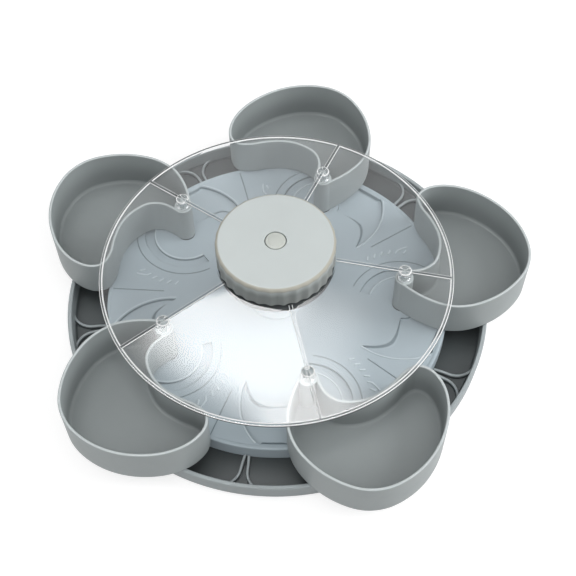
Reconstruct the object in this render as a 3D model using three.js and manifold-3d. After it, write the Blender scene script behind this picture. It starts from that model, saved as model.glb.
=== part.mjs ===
// Twist-open snack tray: five bean-shaped boxes swing out of a round tray when the knob is turned.
// Millimetres, +Z up, origin on the tray's axis at the level of the surface it stands on.
import * as THREE from 'three';
import { mergeVertices } from 'three/addons/utils/BufferGeometryUtils.js';
import Module from 'manifold-3d';

const wasm = await Module();
wasm.setup();

// Whole tray
const petalCount = 5;
const firstPivotAngle = 66; // degrees, from +X
const seatGap = 0.3; // between pieces that rest on each other
const overrun = 1; // how far a cutting tool runs past the face it cuts

// Base tray
const baseHeight = 14.5;
const baseFloor = 2.2;
const baseRimWidth = 3;
const baseTaper = 0.8;
const baseEdgeRound = 1.4;
const floorFillet = 3;
const crumbRibWidth = 1.4;
const crumbRibHeight = 3;
const crumbRibSpread = 3; // half the gap between the two ribs of a pair
const crumbRibCorner = 11;
const crumbRibAngle = 49; // degrees, from a pivot to the pair of ribs beside it
const baseBossRadius = 6;
const baseBossHeight = 2.6;
const basePinRadius = 4;
const basePinHeight = 5;

// Foot pads
const padRadius = 8;
const centrePadRadius = 14;
const padThickness = 1.6;
const padProud = 1;
const padInset = 20.2; // from the base tray's edge to the pads' middles

// Deck
const deckRadius = 121.9;
const troughWidth = 25.3; // from the deck's edge to the base tray's rim
const pivotInset = 33.1; // from the deck's edge to the axes of the boxes
const deckWall = 2.2;
const deckPlate = 3.8;
const deckLipWidth = 2.4;
const deckLipHeight = 0.4;
const deckEdgeRound = 1.2;
const hollowDepth = 2.2;
const hollowApart = 13.4; // least way between the hollows of two neighbouring boxes
const beadWidth = 1.2;
const beadHeight = 0.5;
const channelDepth = 2;
const channelInner = 24;
const channelOuter = 30.8;
const tickLength = 4.4;
const tickWidth = 1.4;
const tickCount = 6;
const deckPostRadius = 5;

// Petal boxes
const petalTuck = 0.2; // by how much a box is shorter than the way from its pivot to the tray's axis
const petalHeight = 31.9;
const petalWall = 2;
const petalFloor = 2;
const petalDraft = 0.5;
const petalFillet = 1.2;
const petalFilletFade = 24; // distance from the pivot at which the fillet has its full size
const petalRimRound = 0.7;
const petalRide = 1.1; // between the deck and the box
const columnRadius = 6.4;
const journalRadius = 4.6;
const keyRadius = 4.2;
const pegRadius = 2.7;
const stubRadius = 2.5;
const stubHeight = 6.2;

// Lid
const lidOverhang = 1.1; // beyond the deck's edge
const lidThickness = 1.6;
const lidRise = 14.2;
const lidRide = 0.5; // between the boxes and the lid
const lidPanelSag = 2.4; // by how much the middle of a panel lies below the cone through its ribs
const lidBeadWidth = 2.2;
const lidBeadHeight = 0.5;
const lidRibWidth = 2.2;
const lidRibHeight = 0.7;
const bossRadius = 5;

// Knob
const knobRadius = 41.1;
const knobHeight = 18.3;
const fluteCount = 30;
const fluteDepth = 0.9;
const knobEdgeRound = 1.2;
const knobWall = 3;
const knobBossRadius = 13;
const capRadius = 6.9;
const capGap = 0.65;
const capThickness = 3.2;
const capDome = 0.4;

// Drive train
const sunTeeth = 30;
const petalTeeth = 36;
const gearThickness = 5;
const pressureAngle = 20; // degrees
const backlash = 0.35;
const sectorHubRadius = 10;
const gearSeatRadius = 7.5;
const sectorTeeth = 11;
const sectorNeck = 55; // degrees from the end teeth to the round part of the hub
const shaftRadius = 8.6;
const shaftKeyRadius = 10.4; // corner radius of the hexagon that carries the sun gear
const shaftTopKeyRadius = 8.4;
const shaftFlangeRadius = 13;
const shaftFlange = 1.4;
const shaftRunning = 0.4;
const bushWall = 1.2;
const bushFlange = 1.8;
const bushFlangeThickness = 0.8;
const postWall = 3.5;
const postFlangeRadius = 20;
const postFlange = 2;
const collarInset = 0.6; // inside the knob's outer edge
const collarHeight = 7;
const collarTaper = 3;

// Screws
const screwRadius = 1.5;
const screwHeadRadius = 3.6;
const screwHead = 1.3;
const screwHoleGap = 0.3;
const deckScrewInset = 12; // from the deck's inner wall to the screw's axis

// Outline of a petal box about its pivot, x away from the tray's axis, as shares of its reach
const petalOutlineShares = [
  [-0.068, -0.024], [-0.019, -0.072], [0.149, -0.185], [0.330, -0.247], [0.525, -0.233],
  [0.733, -0.130], [0.885, 0.014], [0.975, 0.167], [1.000, 0.333], [0.959, 0.514],
  [0.858, 0.691], [0.698, 0.842], [0.497, 0.944], [0.303, 0.968], [0.154, 0.920],
  [0.086, 0.828], [0.111, 0.717], [0.196, 0.581], [0.254, 0.446], [0.267, 0.316],
  [0.230, 0.175], [0.152, 0.105], [0.066, 0.080], [-0.035, 0.064],
];
// Inner edge of the hollow beside each pivot, as shares of the hollow's reach
const hollowEdgeShares = [[0, -0.26], [-0.048, -0.418], [-0.106, -0.571], [-0.209, -0.710], [-0.374, -0.782]];
const hollowCuspAngle = -125.8; // degrees about the pivot
const hollowEndAngle = -15;
const hollowNearAngle = -80; // where its edge leaves the round round the pivot
const channelStartAngle = 18;
const channelEndAngle = 165;
const beadEndAngle = 1; // from the end of a channel to the end of its bead
const tickStartAngle = 88;
const tickStep = 7.2;
const tickLean = 35;
const pegAngle = 24;
const keySides = 6;

// Counts of straight steps in round and curved stretches
const bigRoundSteps = 40;
const midRoundSteps = 20;
const smallRoundSteps = 8;
const petalSteps = 32;
const bandSteps = 7;
const fluteSteps = 4;

// Radii and circles that follow the deck's edge and the knob
const pivotCircle = deckRadius - pivotInset;
const baseRadius = deckRadius + troughWidth + baseRimWidth;
const padCircle = baseRadius - padInset;
const petalReach = pivotCircle - petalTuck;
const hollowReach = pivotCircle * Math.sin(Math.PI / petalCount) - hollowApart / 2;
const lidRadius = deckRadius + lidOverhang;
const collarRadius = knobRadius - collarInset;
const moduleSize = 2 * pivotCircle / (sunTeeth + petalTeeth);

// Levels, from the ground up
const baseUnderside = padProud;
const floorTop = baseUnderside + baseFloor;
const gearBottom = floorTop + shaftFlange + 2 * seatGap;
const gearTop = gearBottom + gearThickness;
const bushBottom = gearTop + seatGap;
const deckUnderside = bushBottom + bushFlangeThickness + seatGap;
const deckTop = deckUnderside + deckPlate;
const petalBottom = deckTop + petalRide;
const petalRim = petalBottom + petalHeight;
const lidEdgeUnderside = petalRim + lidRide;
const lidEdgeTop = lidEdgeUnderside + lidThickness;
const lidSeatRadius = knobRadius + seatGap;
const lidSlope = lidRise / (lidRadius - lidSeatRadius);
const lidSeatTop = lidEdgeTop + lidRise;
const lidSeatUnderside = lidSeatTop - lidThickness;
const knobBottom = lidSeatTop + seatGap;
const knobTop = knobBottom + knobHeight;
const hollowFloor = deckTop - hollowDepth;
const channelFloor = deckTop - channelDepth;
const collarTop = lidSeatUnderside - seatGap;
const collarBottom = collarTop - collarHeight;
const bushRadius = journalRadius + seatGap + bushWall;
const postBore = shaftRadius + shaftRunning;
const deckScrewCircle = deckRadius - deckWall - deckScrewInset;
const halfPitchAngle = 180 / petalCount;
const capPocketRadius = capRadius + capGap;
const capBottom = knobTop + capDome - capThickness;
const screwPocketFloor = capBottom - 2 * seatGap - screwHead - seatGap;
const shaftTop = screwPocketFloor - 2 * seatGap - screwHead;
const keySocketDepth = shaftTop - knobBottom + seatGap;

const radians = THREE.MathUtils.degToRad;

// Makes a closed solid of a geometry, with shared corners merged and the faces pointing out
function solidOf(geometry) {
  const bare = geometry.clone();
  bare.deleteAttribute('normal');
  bare.deleteAttribute('uv');
  const merged = mergeVertices(bare);
  const position = merged.attributes.position;
  const corners = [];
  let sixVolumes = 0;
  const a = new THREE.Vector3();
  const b = new THREE.Vector3();
  const c = new THREE.Vector3();
  for (let i = 0; i < merged.index.count; i += 3) {
    const ids = [merged.index.getX(i), merged.index.getX(i + 1), merged.index.getX(i + 2)];
    if (new Set(ids).size < 3) continue;
    corners.push(...ids);
    a.fromBufferAttribute(position, ids[0]);
    b.fromBufferAttribute(position, ids[1]);
    c.fromBufferAttribute(position, ids[2]);
    sixVolumes += a.dot(b.cross(c));
  }
  if (sixVolumes < 0) corners.reverse();
  return new wasm.Manifold(new wasm.Mesh({
    numProp: 3,
    vertProperties: new Float32Array(position.array),
    triVerts: new Uint32Array(corners),
  }));
}

// Turns a solid back into a geometry
function geometryOf(solid) {
  const mesh = solid.getMesh();
  const geometry = new THREE.BufferGeometry();
  geometry.setAttribute('position', new THREE.BufferAttribute(new Float32Array(mesh.vertProperties), 3));
  geometry.setIndex(new THREE.BufferAttribute(new Uint32Array(mesh.triVerts), 1));
  geometry.computeVertexNormals();
  return geometry;
}

// Joins the added geometries to the body and then cuts the tools out of it
function shaped(body, added, tools) {
  let solid = solidOf(body);
  for (const piece of added) solid = solid.add(solidOf(piece));
  for (const tool of tools) solid = solid.subtract(solidOf(tool));
  return geometryOf(solid);
}

// Revolves a profile of [radius, height] points about Z
function revolved(profile, steps) {
  const points = profile.map(([radius, height]) => new THREE.Vector2(radius, height));
  return new THREE.LatheGeometry(points, steps).rotateX(Math.PI / 2);
}

// Solid of revolution whose profile starts and ends on the axis
function turned(profile, steps) {
  const first = profile[0];
  const last = profile[profile.length - 1];
  return revolved([[0, first[1]], ...profile, [0, last[1]]], steps);
}

// Ring of revolution whose profile closes on itself
function ring(profile, steps) {
  return revolved([...profile, profile[0]], steps);
}

function disc(radius, bottom, top, steps = smallRoundSteps) {
  return turned([[radius, bottom], [radius, top]], steps);
}

function tube(inner, outer, bottom, top, steps) {
  return ring([[outer, bottom], [outer, top], [inner, top], [inner, bottom]], steps);
}

// Straight-sided solid over an outline of [x, y] points
function prism(outline, bottom, top) {
  const shape = new THREE.Shape(outline.map(([x, y]) => new THREE.Vector2(x, y)));
  const options = { depth: top - bottom, bevelEnabled: false };
  return new THREE.ExtrudeGeometry(shape, options).translate(0, 0, bottom);
}

function polar(radius, degrees) {
  return [radius * Math.cos(radians(degrees)), radius * Math.sin(radians(degrees))];
}

function arc(radius, from, to, steps) {
  return Array.from({ length: steps + 1 }, (_, i) => polar(radius, from + (to - from) * i / steps));
}

function hexagon(cornerRadius) {
  return arc(cornerRadius, 0, 360, keySides).slice(1);
}

// Part of a flat ring between two angles
function band(inner, outer, from, to, bottom, top) {
  const outline = [...arc(outer, from, to, bandSteps), ...arc(inner, to, from, bandSteps)];
  return prism(outline, bottom, top);
}

// Thin wall of even width along a path of [x, y] points
function wallAlong(path, width, bottom, top) {
  const sides = path.map((point, i) => {
    const before = path[Math.max(i - 1, 0)];
    const after = path[Math.min(i + 1, path.length - 1)];
    const run = new THREE.Vector2(after[0] - before[0], after[1] - before[1]).normalize();
    const across = [-run.y * width / 2, run.x * width / 2];
    return [[point[0] - across[0], point[1] - across[1]], [point[0] + across[0], point[1] + across[1]]];
  });
  const outline = [...sides.map((side) => side[0]), ...sides.map((side) => side[1]).reverse()];
  return prism(outline, bottom, top);
}

function pivotAngle(index) {
  return firstPivotAngle + index * 360 / petalCount;
}

// Copies of a geometry that is drawn about a pivot, with x away from the axis, one at each pivot
function atEachPivot(geometry) {
  return eachTurn(geometry.clone().translate(pivotCircle, 0, 0), 0);
}

// Copies of a geometry that is drawn about the tray's axis, turned by an angle past each pivot
function eachTurn(geometry, extraAngle) {
  return Array.from({ length: petalCount }, (_, i) =>
    geometry.clone().rotateZ(radians(pivotAngle(i) + extraAngle)));
}

// Closed side surface through rings of equal point count, with flat ends
function lofted(rings) {
  const count = rings[0].length;
  const positions = rings.flat(2);
  const index = [];
  for (let r = 0; r + 1 < rings.length; r++) {
    for (let i = 0; i < count; i++) {
      const j = (i + 1) % count;
      const low = r * count;
      const high = low + count;
      index.push(low + i, low + j, high + j, low + i, high + j, high + i);
    }
  }
  const topStart = (rings.length - 1) * count;
  const flat = (points) => points.map(([x, y]) => new THREE.Vector2(x, y));
  for (const [p, q, s] of THREE.ShapeUtils.triangulateShape(flat(rings[0]), [])) {
    index.push(s, q, p);
  }
  for (const [p, q, s] of THREE.ShapeUtils.triangulateShape(flat(rings[rings.length - 1]), [])) {
    index.push(topStart + p, topStart + q, topStart + s);
  }
  const geometry = new THREE.BufferGeometry();
  geometry.setAttribute('position', new THREE.Float32BufferAttribute(positions, 3));
  geometry.setIndex(index);
  return geometry;
}

// Points of the petal's rim outline with their outward directions
function petalOutline() {
  const points = petalOutlineShares.map(([x, y]) => new THREE.Vector3(x * petalReach, y * petalReach, 0));
  const curve = new THREE.CatmullRomCurve3(points, true, 'centripetal');
  return Array.from({ length: petalSteps }, (_, i) => {
    const at = curve.getPoint(i / petalSteps);
    const along = curve.getTangent(i / petalSteps);
    return { x: at.x, y: at.y, outX: along.y, outY: -along.x };
  });
}

// Ring of the petal at a height: inset all round by one amount, and softly by another,
// which fades out towards the pivot where the box is too narrow for it
function petalRing(outline, inset, softInset, height) {
  return outline.map(({ x, y, outX, outY }) => {
    const fade = THREE.MathUtils.smoothstep(Math.hypot(x, y), columnRadius, petalFilletFade);
    const total = inset + softInset * fade;
    return [x - outX * total, y - outY * total, height];
  });
}

function petalGeometry() {
  const outline = petalOutline();
  const outside = lofted([
    petalRing(outline, 0, petalDraft + petalFillet, petalBottom),
    petalRing(outline, 0, petalDraft, petalBottom + petalFillet),
    petalRing(outline, 0, 0, petalRim - petalRimRound),
    petalRing(outline, petalRimRound, 0, petalRim),
  ]);
  const inside = lofted([
    petalRing(outline, petalWall, petalDraft + petalFillet, petalBottom + petalFloor),
    petalRing(outline, petalWall, petalDraft, petalBottom + petalFloor + petalFillet),
    petalRing(outline, petalWall, 0, petalRim - petalRimRound),
    petalRing(outline, petalWall - petalRimRound, 0, petalRim),
    petalRing(outline, petalWall - petalRimRound, 0, petalRim + overrun),
  ]);
  const column = disc(columnRadius, petalBottom - overrun, petalRim + 2 * overrun);
  const cavity = shaped(inside, [], [column]);
  const peg = polar((channelInner + channelOuter) / 2, pegAngle);
  return shaped(shaped(outside, [], [cavity]), [
    disc(stubRadius, petalRim - petalRimRound, petalRim + stubHeight),
    disc(journalRadius, bushBottom, petalBottom + petalFloor),
    prism(hexagon(keyRadius), gearBottom, deckUnderside),
    disc(pegRadius, channelFloor + seatGap, petalBottom + petalFloor).translate(peg[0], peg[1], 0),
  ], []);
}

function baseTrayGeometry() {
  const rimTop = baseUnderside + baseHeight;
  const innerTop = baseRadius - baseRimWidth;
  const innerFoot = innerTop - baseTaper;
  const profile = [
    [baseRadius - baseTaper - baseEdgeRound, baseUnderside],
    [baseRadius - baseTaper, baseUnderside + baseEdgeRound],
    [baseRadius, rimTop - baseEdgeRound / 2],
    [baseRadius - baseEdgeRound / 2, rimTop],
    [innerTop + baseEdgeRound / 2, rimTop],
    [innerTop, rimTop - baseEdgeRound / 2],
    [innerFoot, floorTop + floorFillet],
    [innerFoot - floorFillet, floorTop],
  ];
  const body = turned(profile, bigRoundSteps);
  const ribs = [1, -1].flatMap((side) => eachTurn(crumbRib(side, innerFoot), crumbRibAngle));
  const screwBoss = disc(baseBossRadius, baseUnderside + baseFloor / 2, floorTop + baseBossHeight);
  const bosses = eachTurn(screwBoss.translate(deckScrewCircle, 0, 0), halfPitchAngle);
  const pin = disc(basePinRadius, baseUnderside + baseFloor / 2, floorTop + basePinHeight, midRoundSteps / 2);
  const gearSeat = disc(gearSeatRadius, baseUnderside + baseFloor / 2, gearBottom - seatGap, midRoundSteps / 2);
  const headPocket = disc(screwHeadRadius + screwHoleGap, -overrun, floorTop);
  const shankHole = disc(screwRadius + screwHoleGap, -overrun, floorTop + baseBossHeight + overrun);
  const padTop = padThickness + seatGap;
  const padPocket = disc(padRadius + seatGap, -overrun, padTop, midRoundSteps / 2);
  const tools = [
    ...eachTurn(headPocket.translate(deckScrewCircle, 0, 0), halfPitchAngle),
    ...eachTurn(shankHole.translate(deckScrewCircle, 0, 0), halfPitchAngle),
    ...eachTurn(padPocket.translate(padCircle, 0, 0), 0),
    disc(centrePadRadius + seatGap, -overrun, padTop, midRoundSteps),
  ];
  return shaped(body, [...ribs, ...bosses, ...atEachPivot(gearSeat), pin], tools);
}

// One rib of a pair: out from the deck, then round a corner into the tray's rim
function crumbRib(side, rimInner) {
  const start = deckRadius + seatGap;
  const cornerX = rimInner - crumbRibCorner;
  const spread = crumbRibSpread;
  const corner = Array.from({ length: 5 }, (_, i) => {
    const turn = radians(22.5 * i);
    const x = cornerX + crumbRibCorner * Math.sin(turn);
    return [x, side * (spread + crumbRibCorner * (1 - Math.cos(turn)))];
  });
  const path = [[start, side * spread * 2 / 3], ...corner];
  return wallAlong(path, crumbRibWidth, floorTop - baseFloor / 2, floorTop + crumbRibHeight);
}

// The hollow beside a pivot: a leaf-shaped recess between the raised middle and the arc bead
function hollowOutline() {
  const edge = hollowEdgeShares.map(([x, y]) => [x * hollowReach, y * hollowReach]);
  const limit = deckRadius - deckLipWidth - deckEdgeRound;
  const sweep = arc(hollowReach, hollowCuspAngle, hollowEndAngle, 2 * bandSteps);
  const clipped = sweep.map(([x, y]) => {
    const fromAxis = Math.hypot(x + pivotCircle, y);
    const share = Math.min(1, limit / fromAxis);
    return [(x + pivotCircle) * share - pivotCircle, y * share];
  });
  const nearPivot = arc(bushRadius + bushFlange + deckWall, hollowEndAngle, hollowNearAngle, 4);
  return [...edge.slice().reverse(), ...clipped, ...nearPivot].reverse();
}

function tick(index) {
  const at = tickStartAngle + index * tickStep;
  const half = tickLength / 2;
  const mark = wallAlong([[-half, 0], [half, 0]], tickWidth, deckTop - deckPlate / 2, deckTop + beadHeight);
  const [x, y] = polar(hollowReach, at);
  return mark.rotateZ(radians(at - tickLean)).translate(x, y, 0);
}

function deckGeometry() {
  const skirtBottom = floorTop + seatGap;
  const inner = deckRadius - deckWall;
  const lipTop = deckTop + deckLipHeight;
  const body = ring([
    [deckRadius, skirtBottom],
    [deckRadius, lipTop - deckEdgeRound],
    [deckRadius - deckEdgeRound, lipTop],
    [deckRadius - deckLipWidth, lipTop],
    [deckRadius - deckLipWidth - deckLipHeight, deckTop],
    [postBore, deckTop],
    [postBore, skirtBottom],
  ], bigRoundSteps);
  const room = disc(inner, skirtBottom - overrun, deckUnderside, bigRoundSteps);
  const post = disc(deckPostRadius, floorTop + baseBossHeight + seatGap, deckUnderside + overrun);
  const posts = eachTurn(post.translate(deckScrewCircle, 0, 0), halfPitchAngle);
  const midPlate = deckTop - deckPlate / 2;
  const bead = band(channelInner - beadWidth, channelInner + overrun, channelStartAngle + beadEndAngle,
    channelEndAngle - beadEndAngle, midPlate, deckTop + beadHeight);
  const channel = band(channelInner, channelOuter, channelStartAngle, channelEndAngle, channelFloor,
    deckTop + overrun);
  const bushHole = disc(bushRadius + seatGap, deckUnderside - overrun, deckTop + overrun, midRoundSteps / 2);
  const ticks = Array.from({ length: tickCount }, (_, i) => tick(i));
  const hollow = prism(hollowOutline(), hollowFloor, deckTop + overrun);
  return shaped(body, [bead, ...ticks].flatMap(atEachPivot), [
    shaped(room, [], posts),
    ...atEachPivot(hollow),
    ...atEachPivot(channel),
    ...atEachPivot(bushHole),
  ]);
}

function bushGeometry() {
  const inner = journalRadius + seatGap;
  const flangeTop = bushBottom + bushFlangeThickness;
  const top = petalBottom - seatGap;
  return ring([
    [inner, bushBottom],
    [bushRadius + bushFlange, bushBottom],
    [bushRadius + bushFlange, flangeTop],
    [bushRadius, flangeTop],
    [bushRadius, top],
    [inner, top],
  ], midRoundSteps / 2);
}

// Outline of one involute tooth of a gear, from one root to the other
function toothOutline(teeth, centre) {
  const pitchRadius = moduleSize * teeth / 2;
  const baseCircle = pitchRadius * Math.cos(radians(pressureAngle));
  const involute = (angle) => Math.tan(angle) - angle;
  const half = Math.PI / (2 * teeth) - backlash / (2 * pitchRadius);
  const flank = [pitchRadius - 1.25 * moduleSize, pitchRadius, pitchRadius + moduleSize].map((radius) => {
    const bounded = Math.max(radius, baseCircle);
    const turn = half + involute(radians(pressureAngle)) - involute(Math.acos(baseCircle / bounded));
    return [radius, turn];
  });
  const side = (sign) => flank.map(([radius, turn]) => {
    const angle = radians(centre) + sign * turn;
    return [radius * Math.cos(angle), radius * Math.sin(angle)];
  });
  return [...side(-1), ...side(1).reverse()];
}

function sunGearGeometry() {
  const pitch = 360 / sunTeeth;
  const outline = Array.from({ length: sunTeeth }, (_, i) =>
    toothOutline(sunTeeth, firstPivotAngle + i * pitch)).flat();
  const bore = prism(hexagon(shaftKeyRadius + seatGap), gearBottom - overrun, gearTop + overrun);
  return shaped(prism(outline, gearBottom, gearTop), [], [bore]);
}

// Toothed sector under a petal box: its teeth cover the turn between open and closed
function petalGearGeometry() {
  const pitch = 360 / petalTeeth;
  const lastTooth = 180 + 1.5 * pitch;
  const firstTooth = lastTooth - (sectorTeeth - 1) * pitch;
  const teeth = Array.from({ length: sectorTeeth }, (_, i) =>
    toothOutline(petalTeeth, firstTooth + i * pitch)).flat();
  const hub = arc(sectorHubRadius, lastTooth + sectorNeck, firstTooth + 360 - sectorNeck, 7);
  const bore = prism(hexagon(keyRadius + seatGap), gearBottom - overrun, gearTop + overrun);
  return shaped(prism([...teeth, ...hub], gearBottom, gearTop), [], [bore]);
}

function driveShaftGeometry() {
  const flangeBottom = floorTop + seatGap;
  const flangeTop = flangeBottom + shaftFlange;
  const body = turned([
    [shaftFlangeRadius, flangeBottom],
    [shaftFlangeRadius, flangeTop],
    [shaftRadius, flangeTop],
    [shaftRadius, lidSeatTop],
  ], midRoundSteps);
  const gearKey = prism(hexagon(shaftKeyRadius), flangeTop - shaftFlange / 2, gearTop + seatGap);
  const topKey = prism(hexagon(shaftTopKeyRadius), lidSeatTop - overrun, shaftTop);
  const pinBore = disc(basePinRadius + seatGap, floorTop - overrun, floorTop + basePinHeight + seatGap,
    midRoundSteps / 2);
  const screwHole = disc(screwRadius + screwHoleGap, lidSeatTop - overrun, shaftTop + overrun);
  return shaped(body, [gearKey, topKey], [pinBore, screwHole]);
}

function centrePostGeometry() {
  const outer = postBore + postWall;
  const bottom = deckTop + seatGap;
  const top = collarBottom - seatGap;
  return ring([
    [postFlangeRadius, bottom],
    [postFlangeRadius, bottom + postFlange],
    [outer, bottom + postFlange],
    [outer, top - postFlange],
    [postFlangeRadius, top - postFlange],
    [postFlangeRadius, top],
    [postBore, top],
    [postBore, bottom],
  ], midRoundSteps);
}

function hubCollarGeometry() {
  return ring([
    [collarRadius - collarTaper, collarBottom],
    [collarRadius, collarTop],
    [postBore, collarTop],
    [postBore, collarBottom],
  ], bigRoundSteps);
}

function lidGeometry() {
  const bore = postBore + seatGap;
  const beadInner = lidRadius - lidBeadWidth;
  const thirds = [1 / 3, 2 / 3].map((share) => lidSeatRadius + (lidRadius - lidSeatRadius) * share);
  const shell = sagged(ring([
    [bore, lidSeatUnderside],
    [lidSeatRadius, lidSeatUnderside],
    ...thirds.map((radius) => [radius, coneTop(radius) - lidThickness]),
    [lidRadius, lidEdgeUnderside],
    [lidRadius, lidEdgeTop],
    [lidRadius - lidBeadHeight, lidEdgeTop + lidBeadHeight],
    [beadInner, lidEdgeTop + lidBeadHeight],
    [beadInner - lidBeadHeight, coneTop(beadInner - lidBeadHeight)],
    ...thirds.reverse().map((radius) => [radius, coneTop(radius)]),
    [lidSeatRadius, lidSeatTop],
    [bore, lidSeatTop],
  ], bigRoundSteps).rotateZ(radians(firstPivotAngle)));
  const socketTop = petalRim + stubHeight + 2 * seatGap;
  const boss = disc(bossRadius, petalRim + 2 * seatGap, coneTop(pivotCircle) + lidRibHeight);
  const socket = disc(stubRadius + seatGap, petalRim, socketTop);
  return shaped(shell, [...atEachPivot(boss), ...eachTurn(lidRib(beadInner), 0)], atEachPivot(socket));
}

// Height of the lid's top along its ribs
function coneTop(radius) {
  return lidEdgeTop + lidSlope * (lidRadius - radius);
}

// Lowers a cone between the ribs, so that each of its panels is nearly flat
function sagged(cone) {
  const position = cone.attributes.position;
  const panel = 2 * Math.PI / petalCount;
  for (let i = 0; i < position.count; i++) {
    const radius = Math.hypot(position.getX(i), position.getY(i));
    const run = THREE.MathUtils.clamp((radius - lidSeatRadius) / (lidRadius - lidSeatRadius), 0, 1);
    const angle = Math.atan2(position.getY(i), position.getX(i)) - radians(firstPivotAngle);
    const fromMiddle = THREE.MathUtils.euclideanModulo(angle, panel) - panel / 2;
    const dip = (Math.cos(fromMiddle) - Math.cos(panel / 2)) / (1 - Math.cos(panel / 2));
    position.setZ(i, position.getZ(i) - lidPanelSag * dip * 4 * run * (1 - run));
  }
  return cone;
}

// A rib that follows the lid's slope from the seat under the knob to the edge bead
function lidRib(outerEnd) {
  const innerEnd = lidSeatRadius;
  const half = lidRibWidth / 2;
  const sink = lidThickness / 2;
  const section = [
    [innerEnd, coneTop(innerEnd) - sink],
    [outerEnd, coneTop(outerEnd) - sink],
    [outerEnd, coneTop(outerEnd) + lidRibHeight],
    [innerEnd, coneTop(innerEnd) + lidRibHeight],
  ];
  return prism(section, -half, half).rotateX(Math.PI / 2);
}

function knobRing(inset, height) {
  const count = fluteCount * fluteSteps;
  return Array.from({ length: count }, (_, i) => {
    const flute = fluteDepth * (1 - Math.cos(2 * Math.PI * i / fluteSteps)) / 2;
    const [x, y] = polar(knobRadius - flute - inset, 360 * i / count);
    return [x, y, height];
  });
}

function knobGeometry() {
  const round = knobEdgeRound;
  const body = lofted([
    knobRing(0, knobBottom),
    knobRing(0, knobTop - round),
    knobRing(round, knobTop),
  ]);
  const roof = knobTop - 2 * knobWall;
  const hollow = tube(knobBossRadius, knobRadius - fluteDepth - knobWall, knobBottom - overrun, roof,
    midRoundSteps);
  const socket = prism(hexagon(shaftTopKeyRadius + seatGap), knobBottom - overrun, knobBottom + keySocketDepth);
  const socketMouth = disc(shaftRadius + seatGap, knobBottom - overrun, knobBottom + seatGap);
  return shaped(body, [], [
    hollow,
    socket,
    socketMouth,
    disc(screwRadius + screwHoleGap, knobBottom, knobTop),
    disc(screwHeadRadius + screwHoleGap, screwPocketFloor, knobTop),
    disc(capPocketRadius, capBottom - seatGap, knobTop + overrun, midRoundSteps),
  ]);
}

function knobScrewGeometry() {
  const headBottom = screwPocketFloor + seatGap;
  return turned([
    [screwRadius, lidSeatTop],
    [screwRadius, headBottom],
    [screwHeadRadius, headBottom],
    [screwHeadRadius, headBottom + screwHead],
  ], smallRoundSteps);
}

function knobCapGeometry() {
  return turned([
    [capRadius, capBottom],
    [capRadius, knobTop - capDome],
    [capRadius - capDome, knobTop],
    [capRadius / 2, knobTop + capDome],
  ], midRoundSteps);
}

function padGeometry(radius, steps) {
  return turned([[radius, 0], [radius, padThickness]], steps);
}

const materials = {
  petal: new THREE.MeshStandardMaterial({ color: 0x9aa3a3, roughness: 0.55, metalness: 0 }),
  deck: new THREE.MeshStandardMaterial({ color: 0xa9b6bf, roughness: 0.5, metalness: 0 }),
  base: new THREE.MeshStandardMaterial({ color: 0x7f8a8d, roughness: 0.55, metalness: 0 }),
  knob: new THREE.MeshStandardMaterial({ color: 0xc3c8c5, roughness: 0.5, metalness: 0 }),
  cap: new THREE.MeshStandardMaterial({ color: 0xc9ccc2, roughness: 0.4, metalness: 0 }),
  collar: new THREE.MeshStandardMaterial({ color: 0x303436, roughness: 0.6, metalness: 0 }),
  lid: new THREE.MeshStandardMaterial({
    color: 0xf4f7f8, roughness: 0.05, metalness: 0, transparent: true, opacity: 0.25,
  }),
  gear: new THREE.MeshStandardMaterial({ color: 0xe6e4da, roughness: 0.45, metalness: 0 }),
  bush: new THREE.MeshStandardMaterial({ color: 0x2b2d2f, roughness: 0.5, metalness: 0 }),
  steel: new THREE.MeshStandardMaterial({ color: 0xb8bbbe, roughness: 0.3, metalness: 1 }),
  pad: new THREE.MeshStandardMaterial({ color: 0x26282a, roughness: 0.85, metalness: 0 }),
};

const tray = new THREE.Group();

function addPiece(name, geometry, material, parent = tray) {
  const mesh = new THREE.Mesh(geometry, material);
  mesh.name = name;
  parent.add(mesh);
  return mesh;
}

// Puts a mesh that is drawn about a pivot, with x away from the tray's axis, on its pivot
function seatAtPivot(mesh, index) {
  const [x, y] = polar(pivotCircle, pivotAngle(index));
  mesh.position.set(x, y, 0);
  mesh.rotation.z = radians(pivotAngle(index));
}

addPiece('base_tray', baseTrayGeometry(), materials.base);
addPiece('deck', deckGeometry(), materials.deck);
addPiece('centre_post', centrePostGeometry(), materials.deck);
addPiece('hub_collar', hubCollarGeometry(), materials.collar);
addPiece('lid', lidGeometry(), materials.lid);
addPiece('drive_shaft', driveShaftGeometry(), materials.gear);
addPiece('sun_gear', sunGearGeometry(), materials.gear);
addPiece('knob', knobGeometry(), materials.knob);
addPiece('knob_screw', knobScrewGeometry(), materials.steel);
addPiece('knob_cap', knobCapGeometry(), materials.cap);
addPiece('centre_pad', padGeometry(centrePadRadius, midRoundSteps), materials.pad);

const petal = petalGeometry();
const petalGear = petalGearGeometry();
const bush = bushGeometry();
const footPad = padGeometry(padRadius, midRoundSteps / 2).translate(padCircle, 0, 0);
for (let i = 0; i < petalCount; i++) {
  const number = i + 1;
  seatAtPivot(addPiece(`petal_${number}`, petal, materials.petal), i);
  seatAtPivot(addPiece(`petal_gear_${number}`, petalGear, materials.gear), i);
  seatAtPivot(addPiece(`pivot_bush_${number}`, bush, materials.bush), i);
  addPiece(`foot_pad_${number}`, footPad, materials.pad).rotation.z = radians(pivotAngle(i));
}

export default tray;
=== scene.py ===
from math import atan2, cos, hypot, pi, radians, sin

import bmesh
import bpy
from mathutils import Matrix, Vector


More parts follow.
